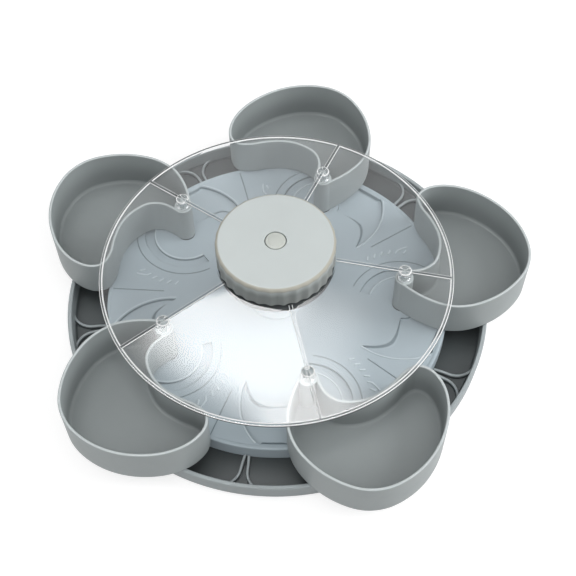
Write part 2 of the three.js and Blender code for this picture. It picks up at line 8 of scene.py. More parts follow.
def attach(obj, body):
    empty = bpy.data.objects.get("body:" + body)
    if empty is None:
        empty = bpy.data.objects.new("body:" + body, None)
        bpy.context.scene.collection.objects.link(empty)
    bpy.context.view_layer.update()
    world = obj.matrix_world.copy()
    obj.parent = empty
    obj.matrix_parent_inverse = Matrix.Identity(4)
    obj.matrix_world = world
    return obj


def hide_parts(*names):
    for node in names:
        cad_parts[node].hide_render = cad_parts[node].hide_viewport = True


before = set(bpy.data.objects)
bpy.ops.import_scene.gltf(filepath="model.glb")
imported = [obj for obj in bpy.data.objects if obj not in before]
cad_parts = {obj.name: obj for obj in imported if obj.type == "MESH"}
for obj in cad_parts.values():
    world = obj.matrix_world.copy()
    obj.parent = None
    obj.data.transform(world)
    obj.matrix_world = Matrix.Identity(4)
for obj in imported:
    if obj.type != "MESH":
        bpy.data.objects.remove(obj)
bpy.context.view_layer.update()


# Base tray: a shallow round dish in grey polypropylene, moulded in one piece. Its trough
# runs round the deck, and pairs of low ribs part it into five.
mm = 0.001
BOXES = 5
BOX_STEP = radians(360 / BOXES)
FIRST_PIVOT = radians(66)
PIVOT_CIRCLE = 88.8
BASE_RADIUS = 150.2
UNDERSIDE = 1.0
FLOOR_TOP = 3.2
BASE_FOOT_ROUND = 2.0
BASE_LEAN = 0.8
BASE_RIM_TOP = 15.5
RIM_WALL = 3.0
RIM_OUTER_ROUND = 1.0
RIM_INNER_ROUND = 0.8
TROUGH_RADIUS = 146.4
TROUGH_CORNER = 2.2
RIB_WALL = 1.8
RIB_RISE = 3.0
RIB_ROOT = 1.0
RIB_SOFT = 0.5
RIB_BEND = 13.0
RIB_END_GAP = 0.6
RIB_STRAIGHT = ((122.2, 2.2), (128.0, 2.9))
RIB_BEND_START = 3.2
RIB_TURN = radians(49)
IN_FLOOR = 2.0
CUT_FOOT = -1.0
SPIGOT_RADIUS = 4.0
SPIGOT_TOP = 8.2
SPIGOT_SOFT = 0.2
GEAR_SEAT_RADIUS = 7.5
GEAR_SEAT_TOP = 4.9
SCREW_CIRCLE = 107.7
SCREW_BOSS_RADIUS = 6.0
SCREW_BOSS_TOP = 5.8
RECESS_RADIUS = 3.9
RECESS_TOP = 2.6
FOOT_CIRCLE = 130.0
FOOT_RADIUS = 8.0
MIDDLE_FOOT = 14.0
POCKET_PLAY = 0.3
POCKET_TOP = 1.9


def pivot_turn(index, extra=0.0):
    return Matrix.Rotation(FIRST_PIVOT + index * BOX_STEP + extra, 4, "Z")


def at_pivot(index):
    return pivot_turn(index) @ Matrix.Translation((PIVOT_CIRCLE, 0, 0))


def at_foot(index):
    return pivot_turn(index) @ Matrix.Translation((FOOT_CIRCLE, 0, 0))


def at_screw(index):
    return pivot_turn(index, BOX_STEP / 2) @ Matrix.Translation((SCREW_CIRCLE, 0, 0))


def arc_points(centre_r, centre_z, radius, start, end, steps):
    """Points of a rounded corner in a turned profile, angles in degrees."""
    points = []
    for i in range(steps + 1):
        a = radians(start + (end - start) * i / steps)
        points.append((centre_r + radius * cos(a), centre_z + radius * sin(a)))
    return points


def round_top(radius, top, soft, steps, start=0, end=90):
    """The rounded upper corner of a turned profile."""
    return arc_points(radius - soft, top - soft, soft, start, end, steps)


def spun(bm, profile, steps=48, angle=2 * pi, closed=False):
    """Spins a profile of (radius, height) points about Z into the mesh."""
    full = abs(angle - 2 * pi) < 1e-6
    verts = [bm.verts.new((r, 0, z)) for r, z in profile]
    edges = [bm.edges.new(pair) for pair in zip(verts, verts[1:])]
    if closed:
        edges.append(bm.edges.new((verts[-1], verts[0])))
    geom = verts + edges
    if not full:
        geom.append(bm.faces.new(verts))
    bmesh.ops.spin(bm, geom=geom, cent=(0, 0, 0), axis=(0, 0, 1), angle=angle,
                   steps=steps, use_merge=full, use_duplicate=False)
    bmesh.ops.remove_doubles(bm, verts=bm.verts, dist=1e-5)


def turned(profile, steps=48, closed=False):
    """A mesh of its own, spun from a profile."""
    bm = bmesh.new()
    spun(bm, profile, steps, closed=closed)
    return bm


def cylinder(radius, low, high, steps=48):
    return turned([(0, low), (radius, low), (radius, high), (0, high)], steps)


def placed(bm, matrix):
    """Moves a whole mesh and hands it back."""
    bmesh.ops.transform(bm, matrix=matrix, verts=bm.verts)
    return bm


def merged(parts):
    """Puts meshes that don't touch each other into one."""
    whole = bmesh.new()
    for part in parts:
        mesh = bpy.data.meshes.new("merging")
        bmesh.ops.recalc_face_normals(part, faces=part.faces)
        part.to_mesh(mesh)
        part.free()
        whole.from_mesh(mesh)
        bpy.data.meshes.remove(mesh)
    return whole


def combined(first, others, operation="UNION"):
    """Joins solid meshes to the first, or cuts them from it."""
    pieces = []
    for i, solid in enumerate([first] + others):
        mesh = bpy.data.meshes.new(f"combining_{i}")
        bmesh.ops.recalc_face_normals(solid, faces=solid.faces)
        solid.to_mesh(mesh)
        solid.free()
        pieces.append(bpy.data.objects.new(f"combining_{i}", mesh))
        bpy.context.scene.collection.objects.link(pieces[-1])
    for other in pieces[1:]:
        modifier = pieces[0].modifiers.new(other.name, "BOOLEAN")
        modifier.object = other
        modifier.operation = operation
        modifier.solver = "EXACT"
    seen = pieces[0].evaluated_get(bpy.context.evaluated_depsgraph_get())
    result = bmesh.new()
    result.from_mesh(seen.to_mesh())
    for piece in pieces:
        spent = piece.data
        bpy.data.objects.remove(piece)
        bpy.data.meshes.remove(spent)
    return result


def finished(bm, name, body, material, smooth=35):
    """Turns a mesh drawn in millimetres into a piece that rides on a body."""
    bmesh.ops.remove_doubles(bm, verts=bm.verts, dist=1e-4)
    bmesh.ops.dissolve_degenerate(bm, edges=bm.edges, dist=1e-4)
    bmesh.ops.recalc_face_normals(bm, faces=bm.faces)
    bmesh.ops.scale(bm, verts=bm.verts, vec=(mm, mm, mm))
    mesh = bpy.data.meshes.new(name)
    bm.to_mesh(mesh)
    bm.free()
    piece = bpy.data.objects.new(name, mesh)
    bpy.context.scene.collection.objects.link(piece)
    mesh.materials.append(material)
    mesh.shade_smooth()
    mesh.set_sharp_from_angle(angle=radians(smooth))
    even = piece.modifiers.new("even_shading", "WEIGHTED_NORMAL")
    even.keep_sharp = True
    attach(piece, body)
    return piece


def node(tree, kind, **values):
    """Adds a shader node; values are its settings or, by name, its input values."""
    made = tree.nodes.new(kind)
    for key, value in values.items():
        if hasattr(made, key):
            setattr(made, key, value)
        else:
            made.inputs[key.replace("_", " ")].default_value = value
    return made


def measured(tree, kind, *values):
    """A math node whose inputs are numbers or the outputs of other nodes."""
    made = node(tree, "ShaderNodeMath", operation=kind)
    for socket, value in zip(made.inputs, values):
        if isinstance(value, (int, float)):
            socket.default_value = value
        else:
            tree.links.new(value, socket)
    return made.outputs["Value"]


def risen(tree, value, low, high):
    """0 below the low value, 1 above the high one, and a soft step between them."""
    made = node(tree, "ShaderNodeMapRange", interpolation_type="SMOOTHSTEP", From_Min=low, From_Max=high)
    tree.links.new(value, made.inputs["Value"])
    return made.outputs["Result"]


def below(tree, value, low, high):
    """1 below the low value, 0 above the high one, and a soft step between them."""
    return measured(tree, "SUBTRACT", 1.0, risen(tree, value, low, high))


def diagonal(tree, a, b):
    """Length of the diagonal over two lengths at a right angle."""
    return measured(tree, "SQRT", measured(tree, "MULTIPLY_ADD", a, a, measured(tree, "MULTIPLY", b, b)))


def place_in_mm(tree):
    """Object coordinates as x, y and z in millimetres, and the distance from the axis."""
    place = node(tree, "ShaderNodeTexCoord")
    axes = node(tree, "ShaderNodeSeparateXYZ")
    tree.links.new(place.outputs["Object"], axes.inputs["Vector"])
    x, y, z = (measured(tree, "MULTIPLY", axes.outputs[axis], 1 / mm) for axis in "XYZ")
    return x, y, z, diagonal(tree, x, y)


def moulded_group():
    """Colour mottling, rub marks and fine moulded grain on Object coordinates."""
    tree = bpy.data.node_groups.new("moulded_surface", "ShaderNodeTree")
    link = tree.links.new
    for way, label, kind in (("INPUT", "Color", "Color"), ("INPUT", "Rough", "Float"),
                             ("INPUT", "Grain Scale", "Float"), ("OUTPUT", "Color", "Color"),
                             ("OUTPUT", "Roughness", "Float"), ("OUTPUT", "Height", "Float")):
        tree.interface.new_socket(label, in_out=way, socket_type="NodeSocket" + kind)
    given = node(tree, "NodeGroupInput")
    out = node(tree, "NodeGroupOutput")
    place = node(tree, "ShaderNodeTexCoord")
    cloud = node(tree, "ShaderNodeTexNoise", Scale=22.0, Detail=3.0)
    rub = node(tree, "ShaderNodeTexNoise", Scale=60.0, Detail=6.0, Roughness=0.7, Distortion=1.2)
    grain = node(tree, "ShaderNodeTexNoise", Detail=2.0, Roughness=0.6)
    for texture in (cloud, rub, grain):
        link(place.outputs["Object"], texture.inputs["Vector"])
    link(given.outputs["Grain Scale"], grain.inputs["Scale"])
    tint = node(tree, "ShaderNodeMapRange", From_Min=0.3, From_Max=0.7, To_Min=0.97, To_Max=1.03)
    link(cloud.outputs["Fac"], tint.inputs["Value"])
    shade = node(tree, "ShaderNodeVectorMath", operation="SCALE")
    link(given.outputs["Color"], shade.inputs[0])
    link(tint.outputs["Result"], shade.inputs["Scale"])
    link(shade.outputs["Vector"], out.inputs["Color"])
    marks = node(tree, "ShaderNodeMapRange", From_Min=0.5, From_Max=0.72, To_Max=0.08)
    link(rub.outputs["Fac"], marks.inputs["Value"])
    link(measured(tree, "ADD", marks.outputs["Result"], given.outputs["Rough"]), out.inputs["Roughness"])
    link(grain.outputs["Fac"], out.inputs["Height"])
    return tree


moulded = moulded_group()


def new_material(name):
    """A material with its tree and its shader."""
    material = bpy.data.materials.new(name)
    material.use_nodes = True
    return material, material.node_tree, material.node_tree.nodes["Principled BSDF"]


def moulded_plastic(name, color, rough=0.5, bump=0.05, grain=900.0):
    """Satin moulded plastic of one colour."""
    material, tree, shader = new_material(name)
    link = tree.links.new
    shader.inputs["Specular IOR Level"].default_value = 0.4
    look = node(tree, "ShaderNodeGroup", node_tree=moulded)
    look.inputs["Color"].default_value = (*color, 1)
    look.inputs["Rough"].default_value = rough
    look.inputs["Grain Scale"].default_value = grain
    relief = node(tree, "ShaderNodeBump", Strength=bump, Distance=0.4 * mm)
    link(look.outputs["Color"], shader.inputs["Base Color"])
    link(look.outputs["Roughness"], shader.inputs["Roughness"])
    link(look.outputs["Height"], relief.inputs["Height"])
    link(relief.outputs["Normal"], shader.inputs["Normal"])
    return material


def second_colour(material, mask, color):
    """Lets a mask between 0 and 1 bring in another colour."""
    tree = material.node_tree
    look = next(n for n in tree.nodes if n.type == "GROUP")
    blend = node(tree, "ShaderNodeMix", data_type="RGBA")
    first, second = [socket for socket in blend.inputs if socket.type == "RGBA"]
    if look.inputs["Color"].is_linked:
        tree.links.new(look.inputs["Color"].links[0].from_socket, first)
    else:
        first.default_value = look.inputs["Color"].default_value
    second.default_value = (*color, 1)
    tree.links.new(mask, blend.inputs["Factor"])
    result = next(socket for socket in blend.outputs if socket.type == "RGBA")
    tree.links.new(result, look.inputs["Color"])


# Painted shade: the dish is one grey plastic, but the top of its floor is coloured near-black for the shade
# that falls in the trough. The walls, rib tops, bosses and underside keep the real grey.
tray_grey = moulded_plastic("tray_plastic_painted_shade", (0.045, 0.052, 0.054))
tree = tray_grey.node_tree
_, _, height, radius = place_in_mm(tree)
walls = measured(tree, "MAXIMUM", risen(tree, radius, TROUGH_RADIUS + 1.0, TROUGH_RADIUS + 2.2),
                 risen(tree, height, FLOOR_TOP + 0.2, FLOOR_TOP + RIB_RISE))
underneath = below(tree, height, UNDERSIDE + 0.8, UNDERSIDE + 1.6)
second_colour(tray_grey, measured(tree, "MAXIMUM", walls, underneath), (0.34, 0.375, 0.385))


def raised_wall(path, low, high, thickness):
    """A wall grown to one side of a path, and the vertices that stand on the path."""
    bm = bmesh.new()
    line = [bm.verts.new((x, y, low)) for x, y in path]
    edges = [bm.edges.new(pair) for pair in zip(line, line[1:])]
    grown = bmesh.ops.extrude_edge_only(bm, edges=edges)["geom"]
    raised = [v for v in grown if isinstance(v, bmesh.types.BMVert)]
    bmesh.ops.translate(bm, verts=raised, vec=(0, 0, high - low))
    bmesh.ops.recalc_face_normals(bm, faces=bm.faces)
    bmesh.ops.solidify(bm, geom=bm.faces[:], thickness=thickness)
    bmesh.ops.recalc_face_normals(bm, faces=bm.faces)
    return bm, line + raised


def soften(bm, edges, offset):
    """Rounds edges in three steps."""
    bmesh.ops.bevel(bm, geom=edges, offset=offset, offset_type="OFFSET", segments=3, profile=0.5,
                    affect="EDGES", material=-1)


def soften_top(bm, high, offset):
    """Rounds the upper edges of a wall."""
    soften(bm, [e for e in bm.edges if all(v.co.z > high - 0.01 for v in e.verts)
                and e.calc_face_angle(0) > 0.8], offset)


def trough_rib(side):
    """One rib of a pair: out from the deck, round into the rim, with a rounded top."""
    bend_at = TROUGH_RADIUS - RIB_END_GAP - RIB_BEND
    path = [(x, side * y) for x, y in RIB_STRAIGHT]
    for i in range(9):
        turn = radians(90 * i / 8)
        path.append((bend_at + RIB_BEND * sin(turn), side * (RIB_BEND_START + RIB_BEND * (1 - cos(turn)))))
    bm, _ = raised_wall(path, FLOOR_TOP - RIB_ROOT, FLOOR_TOP + RIB_RISE, -RIB_WALL)
    soften_top(bm, FLOOR_TOP + RIB_RISE, RIB_SOFT)
    return bm


profile = [(0, UNDERSIDE)]
profile += arc_points(BASE_RADIUS - BASE_LEAN - BASE_FOOT_ROUND, UNDERSIDE + BASE_FOOT_ROUND,
                      BASE_FOOT_ROUND, -90, -12, 6)
profile += round_top(BASE_RADIUS, BASE_RIM_TOP, RIM_OUTER_ROUND, 5)
profile += arc_points(BASE_RADIUS - RIM_WALL + RIM_INNER_ROUND, BASE_RIM_TOP - RIM_INNER_ROUND,
                      RIM_INNER_ROUND, 90, 176, 5)
profile += arc_points(TROUGH_RADIUS - TROUGH_CORNER, FLOOR_TOP + TROUGH_CORNER, TROUGH_CORNER, 0, -90, 7)
profile += [(0, FLOOR_TOP)]
dish = turned(profile, 240)
ribs = [placed(trough_rib(side), pivot_turn(index, RIB_TURN)) for index in range(BOXES) for side in (1, -1)]
stands = [turned([(0, IN_FLOOR), (SPIGOT_RADIUS, IN_FLOOR), (SPIGOT_RADIUS, SPIGOT_TOP - SPIGOT_SOFT),
                  (SPIGOT_RADIUS - SPIGOT_SOFT, SPIGOT_TOP), (0, SPIGOT_TOP)], 32)]
pockets = [cylinder(MIDDLE_FOOT + POCKET_PLAY, CUT_FOOT, POCKET_TOP, 72)]
for index in range(BOXES):
    stands.append(placed(cylinder(GEAR_SEAT_RADIUS, IN_FLOOR, GEAR_SEAT_TOP), at_pivot(index)))
    stands.append(placed(cylinder(SCREW_BOSS_RADIUS, IN_FLOOR, SCREW_BOSS_TOP), at_screw(index)))
    pockets.append(placed(cylinder(FOOT_RADIUS + POCKET_PLAY, CUT_FOOT, POCKET_TOP), at_foot(index)))
    pockets.append(placed(cylinder(RECESS_RADIUS, CUT_FOOT, RECESS_TOP, 32), at_screw(index)))
dish = combined(dish, ribs + [merged(stands)])
dish = combined(dish, [merged(pockets)], "DIFFERENCE")
base = finished(dish, "base_dish", "tray", tray_grey)
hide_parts("base_tray")


# Foot pads: five soft black rubber discs and a larger middle one, stuck in shallow
# pockets under the dish so that it neither slides nor marks a table.
PAD_TOP = 1.6
PAD_ROUND = 0.5
pad_rubber = moulded_plastic("pad_rubber_black", (0.02, 0.021, 0.023), rough=0.8, bump=0.3, grain=1500.0)


def foot_pad(name, node_name, radius, place):
    profile = [(0, 0)] + arc_points(radius - PAD_ROUND, PAD_ROUND, PAD_ROUND, -90, 0, 4)
    profile += [(radius, PAD_TOP), (0, PAD_TOP)]
    pad = finished(placed(turned(profile), place), name, "tray", pad_rubber)
    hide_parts(node_name)


foot_pad("middle_foot", "centre_pad", MIDDLE_FOOT, Matrix())
for index in range(BOXES):
    foot_pad(f"edge_foot_{index + 1}", f"foot_pad_{index + 1}", FOOT_RADIUS, at_foot(index))


# Drive: the knob's shaft, its thirty-tooth sun gear and five toothed sectors, all in
# natural white nylon. The gears lie between dish and deck, and the shaft rises in the post.
nylon = moulded_plastic("gear_nylon", (0.78, 0.76, 0.69), rough=0.42)
for name in ["drive_shaft", "sun_gear"] + [f"petal_gear_{index + 1}" for index in range(BOXES)]:
    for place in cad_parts[name].material_slots:
        place.material = nylon


# Deck: the pale blue-grey polypropylene plate that carries the boxes, screwed down from
# below. Each pivot has its own leaf-shaped hollow, an arc channel that guides the box's peg,
# and a short scale of raised ticks.
DECK_RADIUS = 121.9
DECK_TOP = 15.4
DECK_UNDERSIDE = 11.6
DECK_SKIRT = 3.5
DECK_SKIRT_WALL = 2.2
DECK_SKIRT_SOFT = 0.3
DECK_ROUND = 1.2
DECK_LIP_TOP = 15.8
DECK_LIP_SLOPE = ((1.9, 0.0), (2.4, 0.08), (2.8, 0.32))
DECK_FACE = DECK_RADIUS - 3.1
DECK_POST_RADIUS = 5.0
DECK_POST_FOOT = 6.1
SHAFT_BORE = 9.0
BUSH_HOLE = 6.4
BUSH_HOLE_FOOT = 10.0
CUT_TOP = 17.0
HOLLOW_REACH = 45.5
HOLLOW_DEPTH = 2.2
HOLLOW_START = -125.8
HOLLOW_END = -15
HOLLOW_LIMIT = DECK_FACE - 0.1
COLUMN_ROOM = 11.8
HOLLOW_BACK = [(0, -COLUMN_ROOM), (-2.2, -19), (-4.8, -26), (-9.5, -32.3), (-17, -35.6)]
BACK_FLARE = 6.0
LIMIT_FLARE = 4.0
ARC_FLARE = 0.6
ROOM_FLARE = 1.5
CORNER_FLARE = 0.05
FLARE_GROWTH = 0.28
SHARP_CORNER = 0.8
CHANNEL_START = 18
CHANNEL_END = 165
CHANNEL_FLOOR = 13.4
CHANNEL_INNER = 24.0
CHANNEL_OUTER = 30.8
CHANNEL_SOFT = 0.35
MARK_ROOT = 15.0
BEAD_WIDTH = 1.3
BEAD_TOP = 15.9
BEAD_SOFT = 0.3
EDGE_BEAD = 45.7
EDGE_BEAD_END = -62.5
TICK_TOP = 16.0
TICK_SOFT = 0.35
TICK_WIDTH = 1.4
TICK_REACH = 2.1
TICK_LEAN = -35
TICKS = [88 + 7.2 * k for k in (0, 2, 3, 4, 5)]
CORNER_MARK = [(-5.6, 43.3), (-3.8, 46.6), (-0.3, 48.5), (3.3, 50.2)]
GROOVE_FLOOR = 14.9
GROOVE_CUT_TOP = 16.4
GROOVE_ARC = 36.5
GROOVE_WIDTH = 0.8
GROOVE_START = 20
GROOVE_END = 160
LINE_TURN = radians(36.5)
LINE_START = 81.7
LINE_WIDTH = 0.9
deck_grey = moulded_plastic("deck_plastic_painted_light", (0.42, 0.49, 0.532), rough=0.42, bump=0.02)
tree = deck_grey.node_tree
_, _, height, radius = place_in_mm(tree)
on_face = below(tree, radius, DECK_FACE - 0.4, DECK_FACE)
# Painted shade: the slopes down into the hollows and channels, and the fine grooves, are coloured darker for
# the shade in them.
slope = measured(tree, "SUBTRACT", risen(tree, height, CHANNEL_FLOOR, CHANNEL_FLOOR + 0.6),
                 risen(tree, height, DECK_TOP - 0.7, DECK_TOP - 0.1))
second_colour(deck_grey, measured(tree, "MULTIPLY", on_face, slope), (0.175, 0.22, 0.245))
# Painted highlight: the tops of the beads, ticks and corner marks are coloured paler, as if they caught the
# light.
raised = measured(tree, "SUBTRACT", risen(tree, height, DECK_TOP + 0.15, DECK_TOP + 0.45),
                  risen(tree, height, TICK_TOP + 0.2, TICK_TOP + 0.6))
second_colour(deck_grey, measured(tree, "MULTIPLY", on_face, raised), (0.58, 0.65, 0.69))


def smooth_loop(points, count, closed=True):
    """Centripetal spline through [x, y] points, as evenly numbered steps."""
    result = []
    size = len(points)
    spans = size if closed else size - 1
    for i in range(count if closed else count + 1):
        t = i * spans / count
        k = min(int(t), spans - 1)
        w = t - k
        if closed:
            p = [Vector(points[(k + j - 1) % size]) for j in range(4)]
        else:
            p = [Vector(points[min(max(k + j - 1, 0), size - 1)]) for j in range(4)]
            if k == 0:
                p[0] = p[1] * 2 - p[2]
            if k == spans - 1:
                p[3] = p[2] * 2 - p[1]
        d = [max((p[j + 1] - p[j]).length ** 0.5, 1e-4) for j in range(3)]
        m1 = (p[1] - p[0]) / d[0] - (p[2] - p[0]) / (d[0] + d[1]) + (p[2] - p[1]) / d[1]
        m2 = (p[2] - p[1]) / d[1] - (p[3] - p[1]) / (d[1] + d[2]) + (p[3] - p[2]) / d[2]
        m1 *= d[1]
        m2 *= d[1]
        result.append(p[1] * (2 * w**3 - 3 * w**2 + 1) + m1 * (w**3 - 2 * w**2 + w)
                      + p[2] * (3 * w**2 - 2 * w**3) + m2 * (w**3 - w**2))
    return result


def point_at(radius, degrees):
    return Vector((radius * cos(radians(degrees)), radius * sin(radians(degrees))))


def arc_path(radius, start, end, steps):
    return [point_at(radius, start + (end - start) * i / steps) for i in range(steps + 1)]


def edge_loop(bm, points):
    """A closed loop of edges through points."""
    ring = [bm.verts.new(point) for point in points]
    return [bm.edges.new((ring[i - 1], ring[i])) for i in range(len(ring))]


def bridged(bm, loops):
    """Skins a row of loops, and hands back the faces of each step."""
    return [bmesh.ops.bridge_loops(bm, edges=low + high)["faces"] for low, high in zip(loops, loops[1:])]


def banded(profile, start, end, steps=84):
    """A solid stretch of a ring about Z, between two angles in degrees."""
    bm = bmesh.new()
    spun(bm, profile, steps, angle=radians(end - start))
    return placed(bm, Matrix.Rotation(radians(start), 4, "Z"))


def bar(path, width, low, high, soft):
    """A straight-sided strip on a path with its upper edges rounded."""
    bm, sheet = raised_wall(path, low, high, width)
    outer = [v for v in bm.verts if v not in sheet]
    half = sum((v.co - twin.co for v, twin in zip(outer, sheet)), Vector()) / (2 * len(outer))
    bmesh.ops.translate(bm, verts=bm.verts, vec=(-half.x, -half.y, 0))
    if soft:
        soften_top(bm, high, soft)
    return bm


def hollow_edge():
    """Points of the hollow's edge, in its pivot's own place, and how far each slope runs in."""
    back = smooth_loop(HOLLOW_BACK + [point_at(HOLLOW_REACH, HOLLOW_START)], 30, closed=False)
    edge = [(p, BACK_FLARE) for p in back]
    for p in arc_path(HOLLOW_REACH, HOLLOW_START, HOLLOW_END, 72)[1:]:
        spot = Vector((p.x + PIVOT_CIRCLE, p.y))
        if spot.length > HOLLOW_LIMIT:
            edge.append((spot * (HOLLOW_LIMIT / spot.length) - Vector((PIVOT_CIRCLE, 0)), LIMIT_FLARE))
        else:
            edge.append((p, ARC_FLARE))
    return edge + [(p, ROOM_FLARE) for p in arc_path(COLUMN_ROOM, HOLLOW_END, -90, 16)[:-1]]


def hollow_cutter():
    """The leaf-shaped recess beside a pivot, with soft slopes down to its floor."""
    edge = hollow_edge()
    count = len(edge)
    flares = [flare for _, flare in edge]
    for _ in range(3):
        flares = [(flares[i - 1] + 2 * flares[i] + flares[(i + 1) % count]) / 4 for i in range(count)]
    inward = []
    corners = []
    for i in range(count):
        before = (edge[i][0] - edge[i - 1][0]).normalized()
        after = (edge[(i + 1) % count][0] - edge[i][0]).normalized()
        across = Vector((-(before.y + after.y), before.x + after.x))
        inward.append(across.normalized())
        if before.dot(after) < SHARP_CORNER:
            corners.append(edge[i][0])
    for i in range(count):
        to_corner = min((edge[i][0] - corner).length for corner in corners)
        flares[i] = min(flares[i], CORNER_FLARE + FLARE_GROWTH * to_corner)
    bm = bmesh.new()
    loops = []
    for step in range(11):
        share = step / 10
        lift = (HOLLOW_DEPTH + 0.08) * share * share * (3 - 2 * share)
        loops.append(edge_loop(bm, [(*(p + n * f * (1 - share)), DECK_TOP - HOLLOW_DEPTH + lift)
                                    for (p, _), n, f in zip(edge, inward, flares)]))
    loops.append(edge_loop(bm, [(*p, DECK_TOP + 2) for p, _ in edge]))
    bridged(bm, loops)
    bmesh.ops.contextual_create(bm, geom=loops[0])
    bmesh.ops.contextual_create(bm, geom=loops[-1])
    return bm


def channel_cutter():
    """The arc in which the box's peg travels, with softened upper edges."""
    profile = [(CHANNEL_INNER + CHANNEL_SOFT, CHANNEL_FLOOR), (CHANNEL_OUTER - CHANNEL_SOFT, CHANNEL_FLOOR),
               (CHANNEL_OUTER, CHANNEL_FLOOR + CHANNEL_SOFT), (CHANNEL_OUTER, DECK_TOP - 0.3),
               (CHANNEL_OUTER + CHANNEL_SOFT, DECK_TOP + 0.05), (CHANNEL_OUTER + CHANNEL_SOFT, CUT_TOP),
               (CHANNEL_INNER - 0.3, CUT_TOP), (CHANNEL_INNER, DECK_TOP + 0.8),
               (CHANNEL_INNER, CHANNEL_FLOOR + CHANNEL_SOFT)]
    return banded(profile, CHANNEL_START, CHANNEL_END)


def round_bead(inner):
    """Profile of a low bead that starts at a radius."""
    outer = inner + BEAD_WIDTH
    return [(inner, MARK_ROOT), (outer, MARK_ROOT), (outer, BEAD_TOP - BEAD_SOFT),
            (outer - BEAD_SOFT, BEAD_TOP), (inner + BEAD_SOFT, BEAD_TOP), (inner, BEAD_TOP - BEAD_SOFT)]


def raised_marks(index):
    """The bead inside the channel, the edge bead of the hollow, the ticks and the corner mark."""
    marks = [banded(round_bead(CHANNEL_INNER - BEAD_WIDTH), CHANNEL_START + 1, CHANNEL_END - 1),
             banded(round_bead(EDGE_BEAD), HOLLOW_START, EDGE_BEAD_END, 36)]
    for degrees in TICKS:
        tick = bar([(-TICK_REACH, 0), (TICK_REACH, 0)], TICK_WIDTH, MARK_ROOT, TICK_TOP, TICK_SOFT)
        spot = Matrix.Translation((*point_at(HOLLOW_REACH, degrees), 0))
        marks.append(placed(tick, spot @ Matrix.Rotation(radians(degrees + TICK_LEAN), 4, "Z")))
    marks.append(bar(CORNER_MARK, BEAD_WIDTH, MARK_ROOT, BEAD_TOP, BEAD_SOFT))
    return [placed(mark, at_pivot(index)) for mark in marks]


def fine_grooves(index):
    """A fine arc round the channel and a straight line out to the deck's edge."""
    outer = GROOVE_ARC + GROOVE_WIDTH
    profile = [(GROOVE_ARC, GROOVE_FLOOR), (outer, GROOVE_FLOOR),
               (outer + 0.2, GROOVE_CUT_TOP), (GROOVE_ARC - 0.2, GROOVE_CUT_TOP)]
    arc = banded(profile, GROOVE_START, GROOVE_END)
    line = bar([(LINE_START, 0), (DECK_FACE + 0.4, 0)], LINE_WIDTH, GROOVE_FLOOR, GROOVE_CUT_TOP, 0)
    return [placed(arc, at_pivot(index)), placed(line, pivot_turn(index, LINE_TURN))]


profile = [(SHAFT_BORE, DECK_UNDERSIDE), (DECK_RADIUS - DECK_SKIRT_WALL, DECK_UNDERSIDE),
           (DECK_RADIUS - DECK_SKIRT_WALL, DECK_SKIRT), (DECK_RADIUS - DECK_SKIRT_SOFT, DECK_SKIRT),
           (DECK_RADIUS, DECK_SKIRT + DECK_SKIRT_SOFT)]
profile += round_top(DECK_RADIUS, DECK_LIP_TOP, DECK_ROUND, 8)
profile += [(DECK_RADIUS - inward, DECK_LIP_TOP - drop) for inward, drop in DECK_LIP_SLOPE]
profile += [(DECK_FACE, DECK_TOP), (SHAFT_BORE, DECK_TOP)]
plate = turned(profile, 240, closed=True)
posts = [placed(cylinder(DECK_POST_RADIUS, DECK_POST_FOOT, DECK_UNDERSIDE + 0.4, 32), at_screw(index))
         for index in range(BOXES)]
marks = [mark for index in range(BOXES) for mark in raised_marks(index)]
plate = combined(plate, posts + [merged(marks)])
cutters = [placed(hollow_cutter(), at_pivot(index)) for index in range(BOXES)]
cutters += [placed(channel_cutter(), at_pivot(index)) for index in range(BOXES)]
cutters += [placed(cylinder(BUSH_HOLE, BUSH_HOLE_FOOT, CUT_TOP), at_pivot(index))
            for index in range(BOXES)]
plate = combined(plate, [merged(cutters)], "DIFFERENCE")
plate = combined(plate, [groove for index in range(BOXES) for groove in fine_grooves(index)], "DIFFERENCE")
deck = finished(plate, "deck_plate", "tray", deck_grey, smooth=32)
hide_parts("deck")


# Deck screws: five small cross-headed steel screws in the recesses under the dish. They
# pull the deck's posts down on to the bosses, and their heads sit well clear of the table.
HEAD_RADIUS = 3.4
HEAD_TOP = 2.7
HEAD_ROUND = 0.7
HEAD_EDGE = 2.2
HEAD_UNDERSIDE = 1.45
CROSS_SLOT = (3.6, 0.7, 1.4)
CROSS_MIDDLE = 1.5
screw_steel = moulded_plastic("deck_screw_steel", (0.42, 0.42, 0.43), rough=0.32, bump=0.02)
screw_steel.node_tree.nodes["Principled BSDF"].inputs["Metallic"].default_value = 1.0
for index in range(BOXES):
    profile = [(0, HEAD_TOP), (HEAD_RADIUS, HEAD_TOP), (HEAD_RADIUS, HEAD_EDGE + 0.1)]
    profile += arc_points(HEAD_RADIUS - HEAD_ROUND, HEAD_EDGE, HEAD_ROUND, 0, -90, 4)
    profile.append((0, HEAD_UNDERSIDE))
    slots = []
    for turn in (0, 90):
        slot = bmesh.new()
        bmesh.ops.create_cube(slot, size=1.0)
        bmesh.ops.scale(slot, verts=slot.verts, vec=CROSS_SLOT)
        lift = Matrix.Translation((0, 0, CROSS_MIDDLE))
        slots.append(placed(slot, Matrix.Rotation(radians(turn), 4, "Z") @ lift))
    head = combined(turned(profile, 40), slots, "DIFFERENCE")
    spot = at_screw(index) @ Matrix.Rotation(index, 4, "Z")
    finished(placed(head, spot), f"deck_screw_{index + 1}", "tray", screw_steel)


